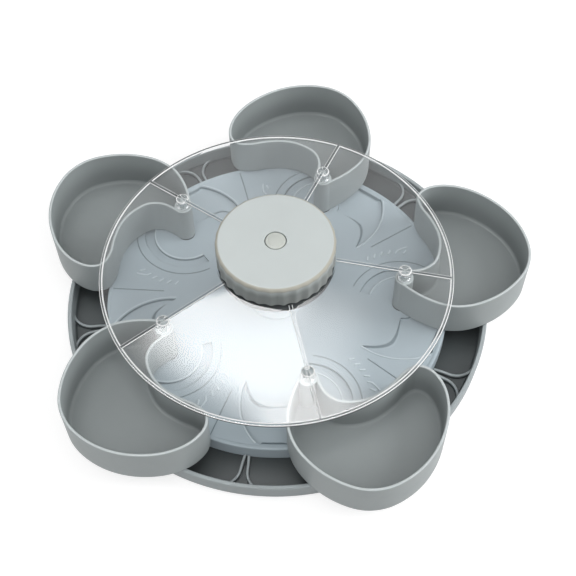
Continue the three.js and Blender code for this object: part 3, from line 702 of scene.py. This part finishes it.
# Pivot bushes: black acetal sleeves, pressed up through the deck as far as their flanges.
# The journals of the boxes turn in them.
BUSH_BORE = 4.9
BUSH_RADIUS = 6.1
BUSH_FOOT = 10.5
BUSH_WIDE = 7.9
BUSH_STEP = 11.3
BUSH_SOFT = 0.2
BUSH_TOP = 16.2
BUSH_ROUND = 0.3
acetal = moulded_plastic("bush_acetal", (0.022, 0.023, 0.025), rough=0.4, bump=0.02)
for index in range(BOXES):
    profile = [(BUSH_BORE, BUSH_FOOT), (BUSH_WIDE - BUSH_SOFT, BUSH_FOOT),
               (BUSH_WIDE, BUSH_FOOT + BUSH_SOFT), (BUSH_WIDE, BUSH_STEP - BUSH_SOFT),
               (BUSH_WIDE - BUSH_SOFT, BUSH_STEP), (BUSH_RADIUS, BUSH_STEP)]
    profile += round_top(BUSH_RADIUS, BUSH_TOP, BUSH_ROUND, 3)
    profile += arc_points(BUSH_BORE + BUSH_ROUND, BUSH_TOP - BUSH_ROUND, BUSH_ROUND, 90, 180, 3)
    sleeve = placed(turned(profile, closed=True), at_pivot(index))
    bush = finished(sleeve, f"bush_{index + 1}", "tray", acetal)
    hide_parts(f"pivot_bush_{index + 1}")


# Boxes: five equal bean-shaped bowls in grey polypropylene, two millimetres thick with a
# rounded rim. A solid corner column turns on the pivot and ends in a stub under the lid.
BOX_REACH = 88.35
BOX_BOTTOM = 16.5
BOX_RIM = 48.4
BOX_WALL = 2.0
BOX_FOOT_ROUND = 1.2
BOX_EASE = 0.5
RIM_ROUND = 0.8
INNER_CORNER = 2.5
COLUMN_RADIUS = 6.4
EASE_FROM_PIVOT = 24.0
STUB_RADIUS = 2.5
STUB_TOP = 54.6
STUB_ROUND = 0.5
STUB_COLLAR = 0.4
JOURNAL_RADIUS = 4.6
JOURNAL_FOOT = 10.5
JOURNAL_TOP = 18.0
PEG_RADIUS = 2.7
PEG_LENGTH = 4.0
PEG_MIDDLE = 15.7
PEG_CIRCLE = 27.4
PEG_ANGLE = 24
KEY_RADIUS = 4.2
KEY_LENGTH = 6.4
KEY_MIDDLE = 8.4
OUTLINE_SHARES = [(-0.068, -0.024), (-0.019, -0.072), (0.149, -0.185), (0.330, -0.247), (0.525, -0.233),
                  (0.733, -0.130), (0.885, 0.014), (0.975, 0.167), (1.000, 0.333), (0.959, 0.514),
                  (0.858, 0.691), (0.698, 0.842), (0.497, 0.944), (0.303, 0.968), (0.154, 0.920),
                  (0.086, 0.828), (0.111, 0.717), (0.196, 0.581), (0.254, 0.446), (0.267, 0.316),
                  (0.230, 0.175), (0.152, 0.105), (0.066, 0.080), (-0.035, 0.064)]
BOX_COLOUR = (0.35, 0.384, 0.388)
box_grey = moulded_plastic("box_plastic_painted_rim_light", BOX_COLOUR, rough=0.48)
tree = box_grey.node_tree
_, _, height, _ = place_in_mm(tree)
# Painted highlight: the rim and everything above it are coloured paler, for the light caught along the rim.
second_colour(box_grey, risen(tree, height, BOX_RIM - 0.7, BOX_RIM - 0.1), (0.5, 0.54, 0.545))
box_inside = moulded_plastic("box_inside_painted_shade", BOX_COLOUR, rough=0.48)
tree = box_inside.node_tree
_, _, height, _ = place_in_mm(tree)
# Painted shade: inside the bowl the colour grows darker towards the floor, for the shade that gathers there.
second_colour(box_inside, below(tree, height, BOX_BOTTOM + 8, BOX_RIM - 1), (0.235, 0.258, 0.26))
outline = smooth_loop([(x * BOX_REACH, y * BOX_REACH) for x, y in OUTLINE_SHARES], 192)
outward = []
for i, here in enumerate(outline):
    along = (outline[(i + 1) % len(outline)] - outline[i - 1]).normalized()
    outward.append(Vector((along.y, -along.x)))


def box_ring(bm, inset, ease, z):
    """One loop of the box: inset evenly, and by an ease that fades at the pivot."""
    points = []
    for here, out in zip(outline, outward):
        away = min(max((here.length - COLUMN_RADIUS) / (EASE_FROM_PIVOT - COLUMN_RADIUS), 0), 1)
        total = inset + ease * away * away * (3 - 2 * away)
        points.append((here.x - out.x * total, here.y - out.y * total, z))
    return edge_loop(bm, points)


def quarter(steps):
    """The steps of a quarter turn, as shares along (sine) and across (cosine)."""
    return [(sin(radians(90 * i / steps)), cos(radians(90 * i / steps))) for i in range(steps + 1)]


def box_mesh():
    """A box at its pivot: bowl, corner column, stub, journal, guide peg and hexagonal key."""
    bm = bmesh.new()
    rings = []
    for s, c in quarter(5):
        rings.append(box_ring(bm, 0, BOX_EASE + BOX_FOOT_ROUND * (1 - s),
                              BOX_BOTTOM + BOX_FOOT_ROUND * (1 - c)))
    for s, c in quarter(4):
        rings.append(box_ring(bm, RIM_ROUND * (1 - c), 0, BOX_RIM - RIM_ROUND * (1 - s)))
    for s, c in quarter(4):
        rings.append(box_ring(bm, BOX_WALL - RIM_ROUND * (1 - s), 0, BOX_RIM - RIM_ROUND * (1 - c)))
    inside_from = len(rings) - 1
    for s, c in quarter(7):
        rings.append(box_ring(bm, BOX_WALL, BOX_EASE + INNER_CORNER * (1 - c),
                              BOX_BOTTOM + BOX_WALL + INNER_CORNER * (1 - s)))
    for step, faces in enumerate(bridged(bm, rings)):
        for face in faces:
            face.material_index = int(step >= inside_from)
    bmesh.ops.contextual_create(bm, geom=rings[0])
    for face in bmesh.ops.contextual_create(bm, geom=rings[-1])["faces"]:
        face.material_index = 1
    column = [(0, BOX_BOTTOM), (COLUMN_RADIUS, BOX_BOTTOM)]
    column += round_top(COLUMN_RADIUS, BOX_RIM, RIM_ROUND, 4)
    column += [(STUB_RADIUS + STUB_COLLAR, BOX_RIM), (STUB_RADIUS, BOX_RIM + STUB_COLLAR)]
    column += round_top(STUB_RADIUS, STUB_TOP, STUB_ROUND, 4) + [(0, STUB_TOP)]
    spun(bm, column)
    spun(bm, [(0, JOURNAL_FOOT), (JOURNAL_RADIUS, JOURNAL_FOOT),
              (JOURNAL_RADIUS, JOURNAL_TOP), (0, JOURNAL_TOP)])
    peg = bmesh.ops.create_cone(bm, cap_ends=True, segments=24, radius1=PEG_RADIUS, radius2=PEG_RADIUS,
                                depth=PEG_LENGTH)["verts"]
    bmesh.ops.translate(bm, verts=peg, vec=(*point_at(PEG_CIRCLE, PEG_ANGLE), PEG_MIDDLE))
    key = bmesh.ops.create_cone(bm, cap_ends=True, segments=6, radius1=KEY_RADIUS, radius2=KEY_RADIUS,
                                depth=KEY_LENGTH)["verts"]
    bmesh.ops.rotate(bm, verts=key, cent=(0, 0, 0), matrix=Matrix.Rotation(radians(30), 3, "Z"))
    bmesh.ops.translate(bm, verts=key, vec=(0, 0, KEY_MIDDLE))
    return bm


for index in range(BOXES):
    bowl = placed(box_mesh(), at_pivot(index))
    box = finished(bowl, f"bean_box_{index + 1}", f"box_{index + 1}", box_grey)
    box.data.materials.append(box_inside)
    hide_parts(f"petal_{index + 1}")


# Centre post and collar: a flanged tube in the deck's plastic, and a dark plastic ring on top of it
# whose near-black colour is partly painted shade, for the shade under the knob. They carry the lid
# clear of the boxes while the shaft turns inside them.
POST_RADIUS = 12.5
POST_FOOT = 15.7
POST_TOP = 55.5
FLANGE_RADIUS = 20.0
FLANGE_THICK = 2.0
FLANGE_SOFT = 0.4
POST_FILLET = 1.0
COLLAR_FOOT = 55.8
COLLAR_TOP = 62.8
COLLAR_FOOT_RADIUS = 40.0
COLLAR_TOP_RADIUS = 40.5
COLLAR_ROUND = 0.8
flange_face = FLANGE_RADIUS - FLANGE_SOFT
foot_top = POST_FOOT + FLANGE_THICK
head_foot = POST_TOP - FLANGE_THICK
fillet_at = POST_RADIUS + POST_FILLET
profile = [(SHAFT_BORE, POST_FOOT), (flange_face, POST_FOOT), (FLANGE_RADIUS, POST_FOOT + FLANGE_SOFT),
           (FLANGE_RADIUS, foot_top - FLANGE_SOFT), (flange_face, foot_top), (fillet_at - 0.1, foot_top)]
profile += arc_points(fillet_at, foot_top + POST_FILLET, POST_FILLET, -90, -180, 4)
profile += arc_points(fillet_at, head_foot - POST_FILLET, POST_FILLET, 180, 90, 4)
profile += [(flange_face, head_foot), (FLANGE_RADIUS, head_foot + FLANGE_SOFT),
            (FLANGE_RADIUS, POST_TOP - FLANGE_SOFT), (flange_face, POST_TOP), (SHAFT_BORE, POST_TOP)]
post = finished(turned(profile, 96, closed=True), "post_tube", "tray", deck_grey)
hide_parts("centre_post")

# Painted shade: the ring's near-black colour partly stands for the shade under the knob.
painted_shade_collar = moulded_plastic("collar_charcoal", (0.028, 0.031, 0.033), rough=0.6, bump=0.1)
profile = [(SHAFT_BORE, COLLAR_FOOT)]
profile += arc_points(COLLAR_FOOT_RADIUS - COLLAR_ROUND, COLLAR_FOOT + COLLAR_ROUND, COLLAR_ROUND, -90, -5, 4)
profile += round_top(COLLAR_TOP_RADIUS, COLLAR_TOP, COLLAR_ROUND, 6, start=-5)
profile.append((SHAFT_BORE, COLLAR_TOP))
collar = finished(turned(profile, 160, closed=True), "collar_ring", "tray", painted_shade_collar)
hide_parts("hub_collar")


# Lid: one clear polystyrene moulding, a shallow cone with a rounded edge bead, which rests
# on the collar. Five thin ribs run down it from the knob, and five round bosses hold the
# tops of the boxes' pivots.
LID_RADIUS = 123.0
LID_EDGE = 48.9
LID_WALL = 1.6
LID_SEAT = 41.4
LID_SLOPE = 14.2 / (LID_RADIUS - LID_SEAT)
LID_SAG = 2.4
LID_BORE = 9.3
LID_BORE_FOOT = 63.1
LID_RIB = 2.6
LID_RIB_SOFT = 0.45
LID_RIB_SUNK = 0.8
LID_RIB_RISE = 0.7
LID_RIB_END_RISE = 0.55
LID_RIB_END = 121.2
BEAD_OUTER_ROUND = 0.8
BEAD_INNER_ROUND = 0.6
LID_BEAD_TOP = 51.0
BOSS_RADIUS = 4.6
BOSS_TOP = 57.3
BOSS_FOOT = 49.1
BOSS_ROUND = 0.8
BOSS_FOOT_ROUND = 0.4
BOSS_BORE = 2.8
BOSS_BORE_TOP = 54.9
BOSS_BORE_SOFT = 0.2


def near(tree, value, middle, half, soft):
    """1 where a value is within half of the middle, and 0 beyond a soft edge."""
    away = measured(tree, "ABSOLUTE", measured(tree, "SUBTRACT", value, middle))
    return below(tree, away, half - soft, half + soft)


def clear_plastic(name, color):
    """Clear moulding whose rib corners and bosses are a trace less smooth than the sheet."""
    material, tree, shader = new_material(name)
    link = tree.links.new
    shader.inputs["Base Color"].default_value = (*color, 1)
    shader.inputs["IOR"].default_value = 1.5
    shader.inputs["Transmission Weight"].default_value = 1.0
    x, y, _, radius = place_in_mm(tree)
    turn = measured(tree, "SUBTRACT", measured(tree, "ARCTAN2", y, x), FIRST_PIVOT)
    folded = measured(tree, "WRAP", turn, BOX_STEP / 2, -BOX_STEP / 2)
    along = measured(tree, "MULTIPLY", radius, measured(tree, "COSINE", folded))
    across = measured(tree, "ABSOLUTE", measured(tree, "MULTIPLY", radius, measured(tree, "SINE", folded)))
    half_way = (LID_SEAT + LID_RIB_END) / 2
    corners = measured(tree, "MULTIPLY", near(tree, across, LID_RIB / 2 - 0.2, 0.26, 0.12),
                       near(tree, along, half_way, LID_RIB_END + 0.1 - half_way, 0.3))
    to_pivot = diagonal(tree, measured(tree, "SUBTRACT", along, PIVOT_CIRCLE), across)
    haze = measured(tree, "MULTIPLY", near(tree, to_pivot, 0.0, BOSS_RADIUS + 0.4, 0.5), 0.14)
    link(measured(tree, "MULTIPLY_ADD", corners, 0.2, haze), shader.inputs["Roughness"])
    look = node(tree, "ShaderNodeGroup", node_tree=moulded)
    look.inputs["Grain Scale"].default_value = 14.0
    relief = node(tree, "ShaderNodeBump", Strength=0.04, Distance=0.1 * mm)
    link(look.outputs["Height"], relief.inputs["Height"])
    link(relief.outputs["Normal"], shader.inputs["Normal"])
    rays = node(tree, "ShaderNodeLightPath")
    lighting = measured(tree, "MAXIMUM", rays.outputs["Is Shadow Ray"], rays.outputs["Is Diffuse Ray"])
    through = node(tree, "ShaderNodeBsdfTransparent", Color=(0.955, 0.96, 0.96, 1))
    mix = node(tree, "ShaderNodeMixShader")
    link(lighting, mix.inputs["Fac"])
    link(shader.outputs["BSDF"], mix.inputs[1])
    link(through.outputs["BSDF"], mix.inputs[2])
    link(mix.outputs["Shader"], tree.nodes["Material Output"].inputs["Surface"])
    return material


def cone_top(radius):
    return LID_EDGE + LID_WALL + LID_SLOPE * (LID_RADIUS - radius)


def panel_sag(x, y):
    """How far the sheet lies below the cone, so that each panel between ribs is nearly flat."""
    run = min(max((hypot(x, y) - LID_SEAT) / (LID_RADIUS - LID_SEAT), 0), 1)
    off_middle = (atan2(y, x) - FIRST_PIVOT) % BOX_STEP - BOX_STEP / 2
    dip = (cos(off_middle) - cos(BOX_STEP / 2)) / (1 - cos(BOX_STEP / 2))
    return LID_SAG * dip * 4 * run * (1 - run)


def lid_rib():
    """A rib along X that rises from the sheet, with rounded upper edges."""
    bm = bmesh.new()
    corners = ((LID_SEAT, -LID_RIB_SUNK), (LID_RIB_END, -LID_RIB_SUNK),
               (LID_RIB_END, LID_RIB_END_RISE), (LID_SEAT, LID_RIB_RISE))
    side = [bm.verts.new((r, -LID_RIB / 2, cone_top(r) + rise)) for r, rise in corners]
    grown = bmesh.ops.extrude_face_region(bm, geom=[bm.faces.new(side)])["geom"]
    moved = [v for v in grown if isinstance(v, bmesh.types.BMVert)]
    bmesh.ops.translate(bm, verts=moved, vec=(0, LID_RIB, 0))
    long_edges = [e for e in bm.edges
                  if all(v.co.z > cone_top(v.co.x) for v in e.verts) and e.calc_length() > 20]
    soften(bm, long_edges, LID_RIB_SOFT)
    return bm


def lid_boss():
    """A round boss with a blind hole for the stub of a box."""
    foot_at = BOSS_RADIUS - BOSS_FOOT_ROUND
    profile = [(0, BOSS_BORE_TOP), (BOSS_BORE - BOSS_BORE_SOFT, BOSS_BORE_TOP),
               (BOSS_BORE, BOSS_BORE_TOP - BOSS_BORE_SOFT), (BOSS_BORE, BOSS_FOOT), (foot_at, BOSS_FOOT)]
    profile += arc_points(foot_at, BOSS_FOOT + BOSS_FOOT_ROUND, BOSS_FOOT_ROUND, -60, 0, 2)
    return turned(profile + round_top(BOSS_RADIUS, BOSS_TOP, BOSS_ROUND, 5) + [(0, BOSS_TOP)])


def lid_finish(face):
    """Number of a face's material: 1 on edges painted white as highlight, 2 on rib tops tinted grey as
    painted shade, 0 elsewhere.
    """
    x, y, z = face.center / mm
    away = hypot(x, y)
    turn = (atan2(y, x) - FIRST_PIVOT + BOX_STEP / 2) % BOX_STEP - BOX_STEP / 2
    along, across = away * cos(turn), abs(away * sin(turn))
    up = face.normal.z
    above_sheet = LID_SEAT < along < LID_RIB_END - 0.2 and z > cone_top(away)
    on_rib_edge = above_sheet and LID_RIB / 2 - LID_RIB_SOFT < across < LID_RIB / 2 and up > 0.15
    on_rib_top = above_sheet and across < LID_RIB / 2 - LID_RIB_SOFT and up > 0.9
    to_pivot = hypot(along - PIVOT_CIRCLE, across)
    on_boss = z > BOSS_TOP - 0.9 and BOSS_RADIUS - 0.85 < to_pivot < BOSS_RADIUS + 0.1 and up > 0.2
    on_rim = away > LID_RADIUS - 2.7 and up > 0.15 and (away > LID_RADIUS - 0.65 or away < LID_RADIUS - 1.7)
    if on_rib_edge or on_boss or on_rim:
        return 1
    return 2 if on_rib_top else 0


slope_radii = [LID_SEAT, 41.7, 42.5] + [44 + 6 * i for i in range(13)] + [119.0, 119.9]
profile = [(LID_BORE, LID_BORE_FOOT)] + [(r, cone_top(r) - LID_WALL) for r in slope_radii]
profile += [(LID_RADIUS - BEAD_OUTER_ROUND, LID_EDGE)]
profile += arc_points(LID_RADIUS - BEAD_INNER_ROUND, LID_EDGE + BEAD_INNER_ROUND, BEAD_INNER_ROUND, -60, 0, 3)
profile += round_top(LID_RADIUS, LID_BEAD_TOP, BEAD_OUTER_ROUND, 5)
profile += arc_points(LID_RADIUS - LID_WALL, LID_BEAD_TOP - BEAD_INNER_ROUND, BEAD_INNER_ROUND, 90, 170, 4)
profile += [(r, cone_top(r)) for r in [120.4] + slope_radii[::-1]] + [(LID_BORE, cone_top(LID_SEAT))]
shell = turned(profile, 240, closed=True)
for corner in shell.verts:
    corner.co.z -= panel_sag(corner.co.x, corner.co.y)
added = []
for index in range(BOXES):
    added.append(placed(lid_rib(), pivot_turn(index)))
    added.append(placed(lid_boss(), at_pivot(index)))
lid = finished(combined(shell, added), "clear_lid", "tray",
               clear_plastic("lid_clear_plastic", (0.97, 0.98, 0.985)), smooth=25)
# Painted highlight: the rib edges, boss tops and edge bead are an opaque near-white plastic, for the glints
# along them.
lid.data.materials.append(moulded_plastic("lid_painted_highlight_edge", (0.84, 0.85, 0.85), rough=0.35, bump=0.02))
# Painted shade: the clear plastic on the rib tops is tinted grey for the dark line down each rib.
lid.data.materials.append(clear_plastic("lid_rib_painted_shade", (0.55, 0.57, 0.58)))
for face in lid.data.polygons:
    face.material_index = lid_finish(face)
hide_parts("lid")


# Knob: a thick grey plastic disc with thirty soft flutes for the fingers and a rounded top
# edge. It is keyed to the shaft, hollow underneath, and held by one screw down its middle.
KNOB_RADIUS = 41.1
KNOB_BOTTOM = 65.0
KNOB_TOP = 83.3
KNOB_TOP_ROUND = 2.6
KNOB_FOOT_ROUND = 0.7
KNOB_WALL_STEP = 4.2
KNOB_FLUTES = 30
POINTS_PER_FLUTE = 12
FLUTE_DEPTH = 1.15
FLUTE_FADE = 0.2
FLUTE_SHAPE = 0.8
SOLE_FLUTE = 0.3
TOP_FLUTE = 0.4
SOLE_INSET = 4.0
FACE_INSET = 5.0
FACE_RING = 20.0
CAP_WELL = 7.55
CAP_WELL_FLOOR = 80.2
SCREW_WELL = 3.9
SCREW_WELL_FLOOR = 78.3
SCREW_HOLE = 1.8
SHAFT_SOCKET_TOP = 76.7
SHAFT_SOCKET = 8.9
HUB_RADIUS = 13.0
SKIRT_INNER = 36.2
KNOB_CEILING = 77.3
knob_grey = moulded_plastic("knob_plastic_painted_light", (0.52, 0.56, 0.555), rough=0.45)
tree = knob_grey.node_tree
_, _, height, radius = place_in_mm(tree)
# Painted highlight: the rounded top edge is tinted warm beige for the warm highlight along it.
edge = measured(tree, "MULTIPLY", risen(tree, radius, KNOB_RADIUS - 2.3, KNOB_RADIUS - 1.5),
                risen(tree, height, KNOB_TOP - 4.3, KNOB_TOP - 1.3))
second_colour(knob_grey, edge, (0.42, 0.41, 0.355))
# Painted shade: the side wall is coloured darker, fading out towards the top edge, for the shade on it.
side = measured(tree, "MULTIPLY", risen(tree, radius, KNOB_RADIUS - 2.2, KNOB_RADIUS - 1.7),
                below(tree, height, KNOB_TOP - 9.3, KNOB_TOP - 1.3))
second_colour(knob_grey, side, (0.265, 0.28, 0.27))


def fluted_ring(bm, inset, z, depth):
    """One loop of the knob's wavy side."""
    points = []
    count = KNOB_FLUTES * POINTS_PER_FLUTE
    for i in range(count):
        a = 2 * pi * i / count
        wave = 0.5 - 0.5 * cos(KNOB_FLUTES * a)
        r = KNOB_RADIUS - inset - depth * wave ** FLUTE_SHAPE
        points.append((r * cos(a), r * sin(a), z))
    return edge_loop(bm, points)


def plain_rings(bm, places):
    """Round loops at (radius, height) places."""
    loops = []
    for r, z in places:
        made = bmesh.ops.create_circle(bm, cap_ends=False, radius=r, segments=120)["verts"]
        bmesh.ops.translate(bm, verts=made, vec=(0, 0, z))
        loops.append(list({e for v in made for e in v.link_edges}))
    return loops


bm = bmesh.new()
rings = [fluted_ring(bm, SOLE_INSET, KNOB_BOTTOM, SOLE_FLUTE)]
for s, c in quarter(3):
    rings.append(fluted_ring(bm, KNOB_FOOT_ROUND * (1 - s), KNOB_BOTTOM + KNOB_FOOT_ROUND * (1 - c),
                             FLUTE_DEPTH))
for i in range(1, 4):
    rings.append(fluted_ring(bm, 0, KNOB_BOTTOM + KNOB_FOOT_ROUND + KNOB_WALL_STEP * i,
                             FLUTE_DEPTH - FLUTE_FADE * i))
for i, (s, c) in enumerate(quarter(7)):
    rings.append(fluted_ring(bm, KNOB_TOP_ROUND * (1 - c), KNOB_TOP - KNOB_TOP_ROUND * (1 - s),
                             TOP_FLUTE * (1 - i / 7)))
rings.append(fluted_ring(bm, FACE_INSET, KNOB_TOP, 0.0))
bridged(bm, rings)
middle = plain_rings(bm, [(FACE_RING, KNOB_TOP), (CAP_WELL + 0.3, KNOB_TOP),
                          (CAP_WELL + 0.05, KNOB_TOP - 0.1), (CAP_WELL, KNOB_TOP - 0.35),
                          (CAP_WELL, CAP_WELL_FLOOR), (SCREW_WELL, CAP_WELL_FLOOR),
                          (SCREW_WELL, SCREW_WELL_FLOOR), (SCREW_HOLE, SCREW_WELL_FLOOR),
                          (SCREW_HOLE, SHAFT_SOCKET_TOP)])
bridged(bm, [rings[-1]] + middle)
under = plain_rings(bm, [(SKIRT_INNER, KNOB_BOTTOM), (SKIRT_INNER, KNOB_CEILING),
                         (HUB_RADIUS, KNOB_CEILING), (HUB_RADIUS, KNOB_BOTTOM),
                         (SHAFT_SOCKET, KNOB_BOTTOM), (SHAFT_SOCKET, SHAFT_SOCKET_TOP)])
bridged(bm, [rings[0]] + under)
bridged(bm, [under[-1], middle[-1]])
knob = finished(bm, "fluted_knob", "knob_drive", knob_grey)
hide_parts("knob")


# Knob's screw and cap: a zinc-plated screw holds the knob to the shaft, and a small smooth
# domed cap of grey plastic presses into the recess over it, with a thin dark ring round it.
CAP_RADIUS = 6.9
CAP_FOOT = 80.5
CAP_FOOT_SOFT = 0.3
CAP_TOP = 83.7
CAP_ROUND = 0.6
CAP_EDGE_DROP = 0.4
CAP_DOME = 0.42
CAP_DOME_RADIUS = 6.4
CAP_RINGS = (6.0, 5.3, 4.75, 4.6, 3.0, 1.5, 0.0)
CAP_STEP_RADIUS = 4.7
CAP_STEP = 0.12
zinc = moulded_plastic("screw_zinc", (0.55, 0.56, 0.57), rough=0.3, bump=0.02)
zinc.node_tree.nodes["Principled BSDF"].inputs["Metallic"].default_value = 1.0
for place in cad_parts["knob_screw"].material_slots:
    place.material = zinc
cap_grey = moulded_plastic("cap_grey_plastic", (0.52, 0.545, 0.51), rough=0.3, bump=0.02)
profile = [(0, CAP_FOOT), (CAP_RADIUS - CAP_FOOT_SOFT, CAP_FOOT), (CAP_RADIUS, CAP_FOOT + CAP_FOOT_SOFT)]
profile += round_top(CAP_RADIUS, CAP_TOP - CAP_EDGE_DROP, CAP_ROUND, 5, end=70)
for r in CAP_RINGS:
    step = CAP_STEP if r > CAP_STEP_RADIUS else 0
    profile.append((r, CAP_TOP - CAP_DOME * (r / CAP_DOME_RADIUS) ** 2 - step))
cap = finished(turned(profile, 96), "knob_button", "knob_drive", cap_grey)
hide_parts("knob_cap")


# Studio: a pale floor, a white world with a soft glow overhead, a lamp at the right and weak
# ones at the left, front and back. Only mirror reflections see the world's bright window.
# The camera stands where the photograph was taken from.
FLOOR_RADIUS = 6.0
FLOOR_COLOUR = (0.45, 0.45, 0.45, 1)
FLOOR_GLOW = (0.68, 0.68, 0.68, 1)
LAMP_SIZE = 1.0
LAMP_DISTANCE = 1.5
LAMP_HEIGHT = 0.9
LAMP_AIM = (0, 0, 0.05)
DOME_LOW = 0.1
DOME_HIGH = 0.25
GLOW = 1.6
GLOW_TOWARD = (-0.08, -0.4, 0.9)
GLOW_ANGLE = 50
MIRRORED = 0.8
SHEEN = 14.0
WINDOW_X = (-0.15, 0.4, 0.3)
WINDOW_Y = (0.14, 0.16, 0.06)
WINDOW_LOW = 0.2
CAMERA_PLACE = (0, -0.47319, 0.71660)
CAMERA_TURN = (radians(34.4345), radians(0.53785), radians(-1.73667))
FOCAL_LENGTH = 73.52


def white_stage():
    """Matt grey with an even glow that is seen, in reflections too, but lights nothing."""
    material, tree, shader = new_material("stage_white")
    link = tree.links.new
    shader.inputs["Base Color"].default_value = FLOOR_COLOUR
    shader.inputs["Roughness"].default_value = 0.9
    shader.inputs["Specular IOR Level"].default_value = 0.0
    rays = node(tree, "ShaderNodeLightPath")
    seen = measured(tree, "MAXIMUM", rays.outputs["Is Camera Ray"], rays.outputs["Is Glossy Ray"])
    seen = measured(tree, "MAXIMUM", seen, rays.outputs["Is Transmission Ray"])
    glow = node(tree, "ShaderNodeEmission", Color=FLOOR_GLOW)
    total = node(tree, "ShaderNodeAddShader")
    link(seen, glow.inputs["Strength"])
    link(shader.outputs["BSDF"], total.inputs[0])
    link(glow.outputs["Emission"], total.inputs[1])
    link(total.outputs["Shader"], tree.nodes["Material Output"].inputs["Surface"])
    return material


bm = bmesh.new()
bmesh.ops.create_circle(bm, cap_ends=True, radius=FLOOR_RADIUS, segments=96)
floor_mesh = bpy.data.meshes.new("studio_floor")
bm.to_mesh(floor_mesh)
bm.free()
floor = bpy.data.objects.new("studio_floor", floor_mesh)
floor_mesh.materials.append(white_stage())
bpy.context.scene.collection.objects.link(floor)

world = bpy.data.worlds.new("studio_world")
bpy.context.scene.world = world
world.use_nodes = True
tree = world.node_tree
link = tree.links.new
soft = tree.nodes["Background"]
soft.inputs["Color"].default_value = (1, 1, 1, 1)
bright = node(tree, "ShaderNodeBackground", Strength=1.0, Color=(1, 1, 1, 1))
aim = node(tree, "ShaderNodeTexCoord")
axes = node(tree, "ShaderNodeSeparateXYZ")
link(aim.outputs["Generated"], axes.inputs["Vector"])
toward = node(tree, "ShaderNodeVectorMath", operation="DOT_PRODUCT")
toward.inputs[1].default_value = Vector(GLOW_TOWARD).normalized()
link(aim.outputs["Generated"], toward.inputs[0])
glow = risen(tree, toward.outputs["Value"], cos(radians(GLOW_ANGLE)), 1.0)
up = measured(tree, "MAXIMUM", axes.outputs["Z"], 0.0)
dome = measured(tree, "MULTIPLY_ADD", up, DOME_HIGH - DOME_LOW, DOME_LOW)
lit = measured(tree, "MULTIPLY_ADD", glow, GLOW, dome)
window = measured(tree, "MULTIPLY", near(tree, axes.outputs["X"], *WINDOW_X),
                  near(tree, axes.outputs["Y"], *WINDOW_Y))
window = measured(tree, "MULTIPLY", window, measured(tree, "GREATER_THAN", axes.outputs["Z"], WINDOW_LOW))
rays = node(tree, "ShaderNodeLightPath")
direct = measured(tree, "LESS_THAN", rays.outputs["Diffuse Depth"], 0.5)
strength = node(tree, "ShaderNodeMix", data_type="FLOAT")
link(measured(tree, "MULTIPLY", rays.outputs["Is Glossy Ray"], direct), strength.inputs["Factor"])
link(lit, strength.inputs["A"])
link(measured(tree, "MULTIPLY_ADD", window, SHEEN, MIRRORED), strength.inputs["B"])
link(strength.outputs["Result"], soft.inputs["Strength"])
seen = measured(tree, "MAXIMUM", rays.outputs["Is Camera Ray"], rays.outputs["Is Transmission Ray"])
pick = node(tree, "ShaderNodeMixShader")
link(measured(tree, "MULTIPLY", seen, direct), pick.inputs["Fac"])
link(soft.outputs["Background"], pick.inputs[1])
link(bright.outputs["Background"], pick.inputs[2])
link(pick.outputs["Shader"], tree.nodes["World Output"].inputs["Surface"])


def soft_box(name, x, y, power):
    """A square lamp aimed at the tray and unseen in reflections."""
    data = bpy.data.lights.new(name, "AREA")
    data.shape = "SQUARE"
    data.size = LAMP_SIZE
    data.energy = power
    lamp = bpy.data.objects.new(name, data)
    lamp.visible_glossy = False
    lamp.location = (x, y, LAMP_HEIGHT)
    lamp.rotation_euler = (Vector(LAMP_AIM) - lamp.location).to_track_quat("-Z", "Y").to_euler()
    bpy.context.scene.collection.objects.link(lamp)


soft_box("right_box", LAMP_DISTANCE, 0, 20)
soft_box("left_box", -LAMP_DISTANCE, 0, 3)
soft_box("front_fill", 0, -LAMP_DISTANCE, 2.0)
soft_box("back_fill", 0, LAMP_DISTANCE, 1.2)

lens = bpy.data.cameras.new("studio_camera")
lens.lens = FOCAL_LENGTH
lens.sensor_width = 36
lens.clip_start = 0.05
camera = bpy.data.objects.new("studio_camera", lens)
camera.location = CAMERA_PLACE
camera.rotation_euler = CAMERA_TURN
bpy.context.scene.collection.objects.link(camera)
bpy.context.scene.camera = camera
bpy.context.scene.view_settings.view_transform = "Standard"
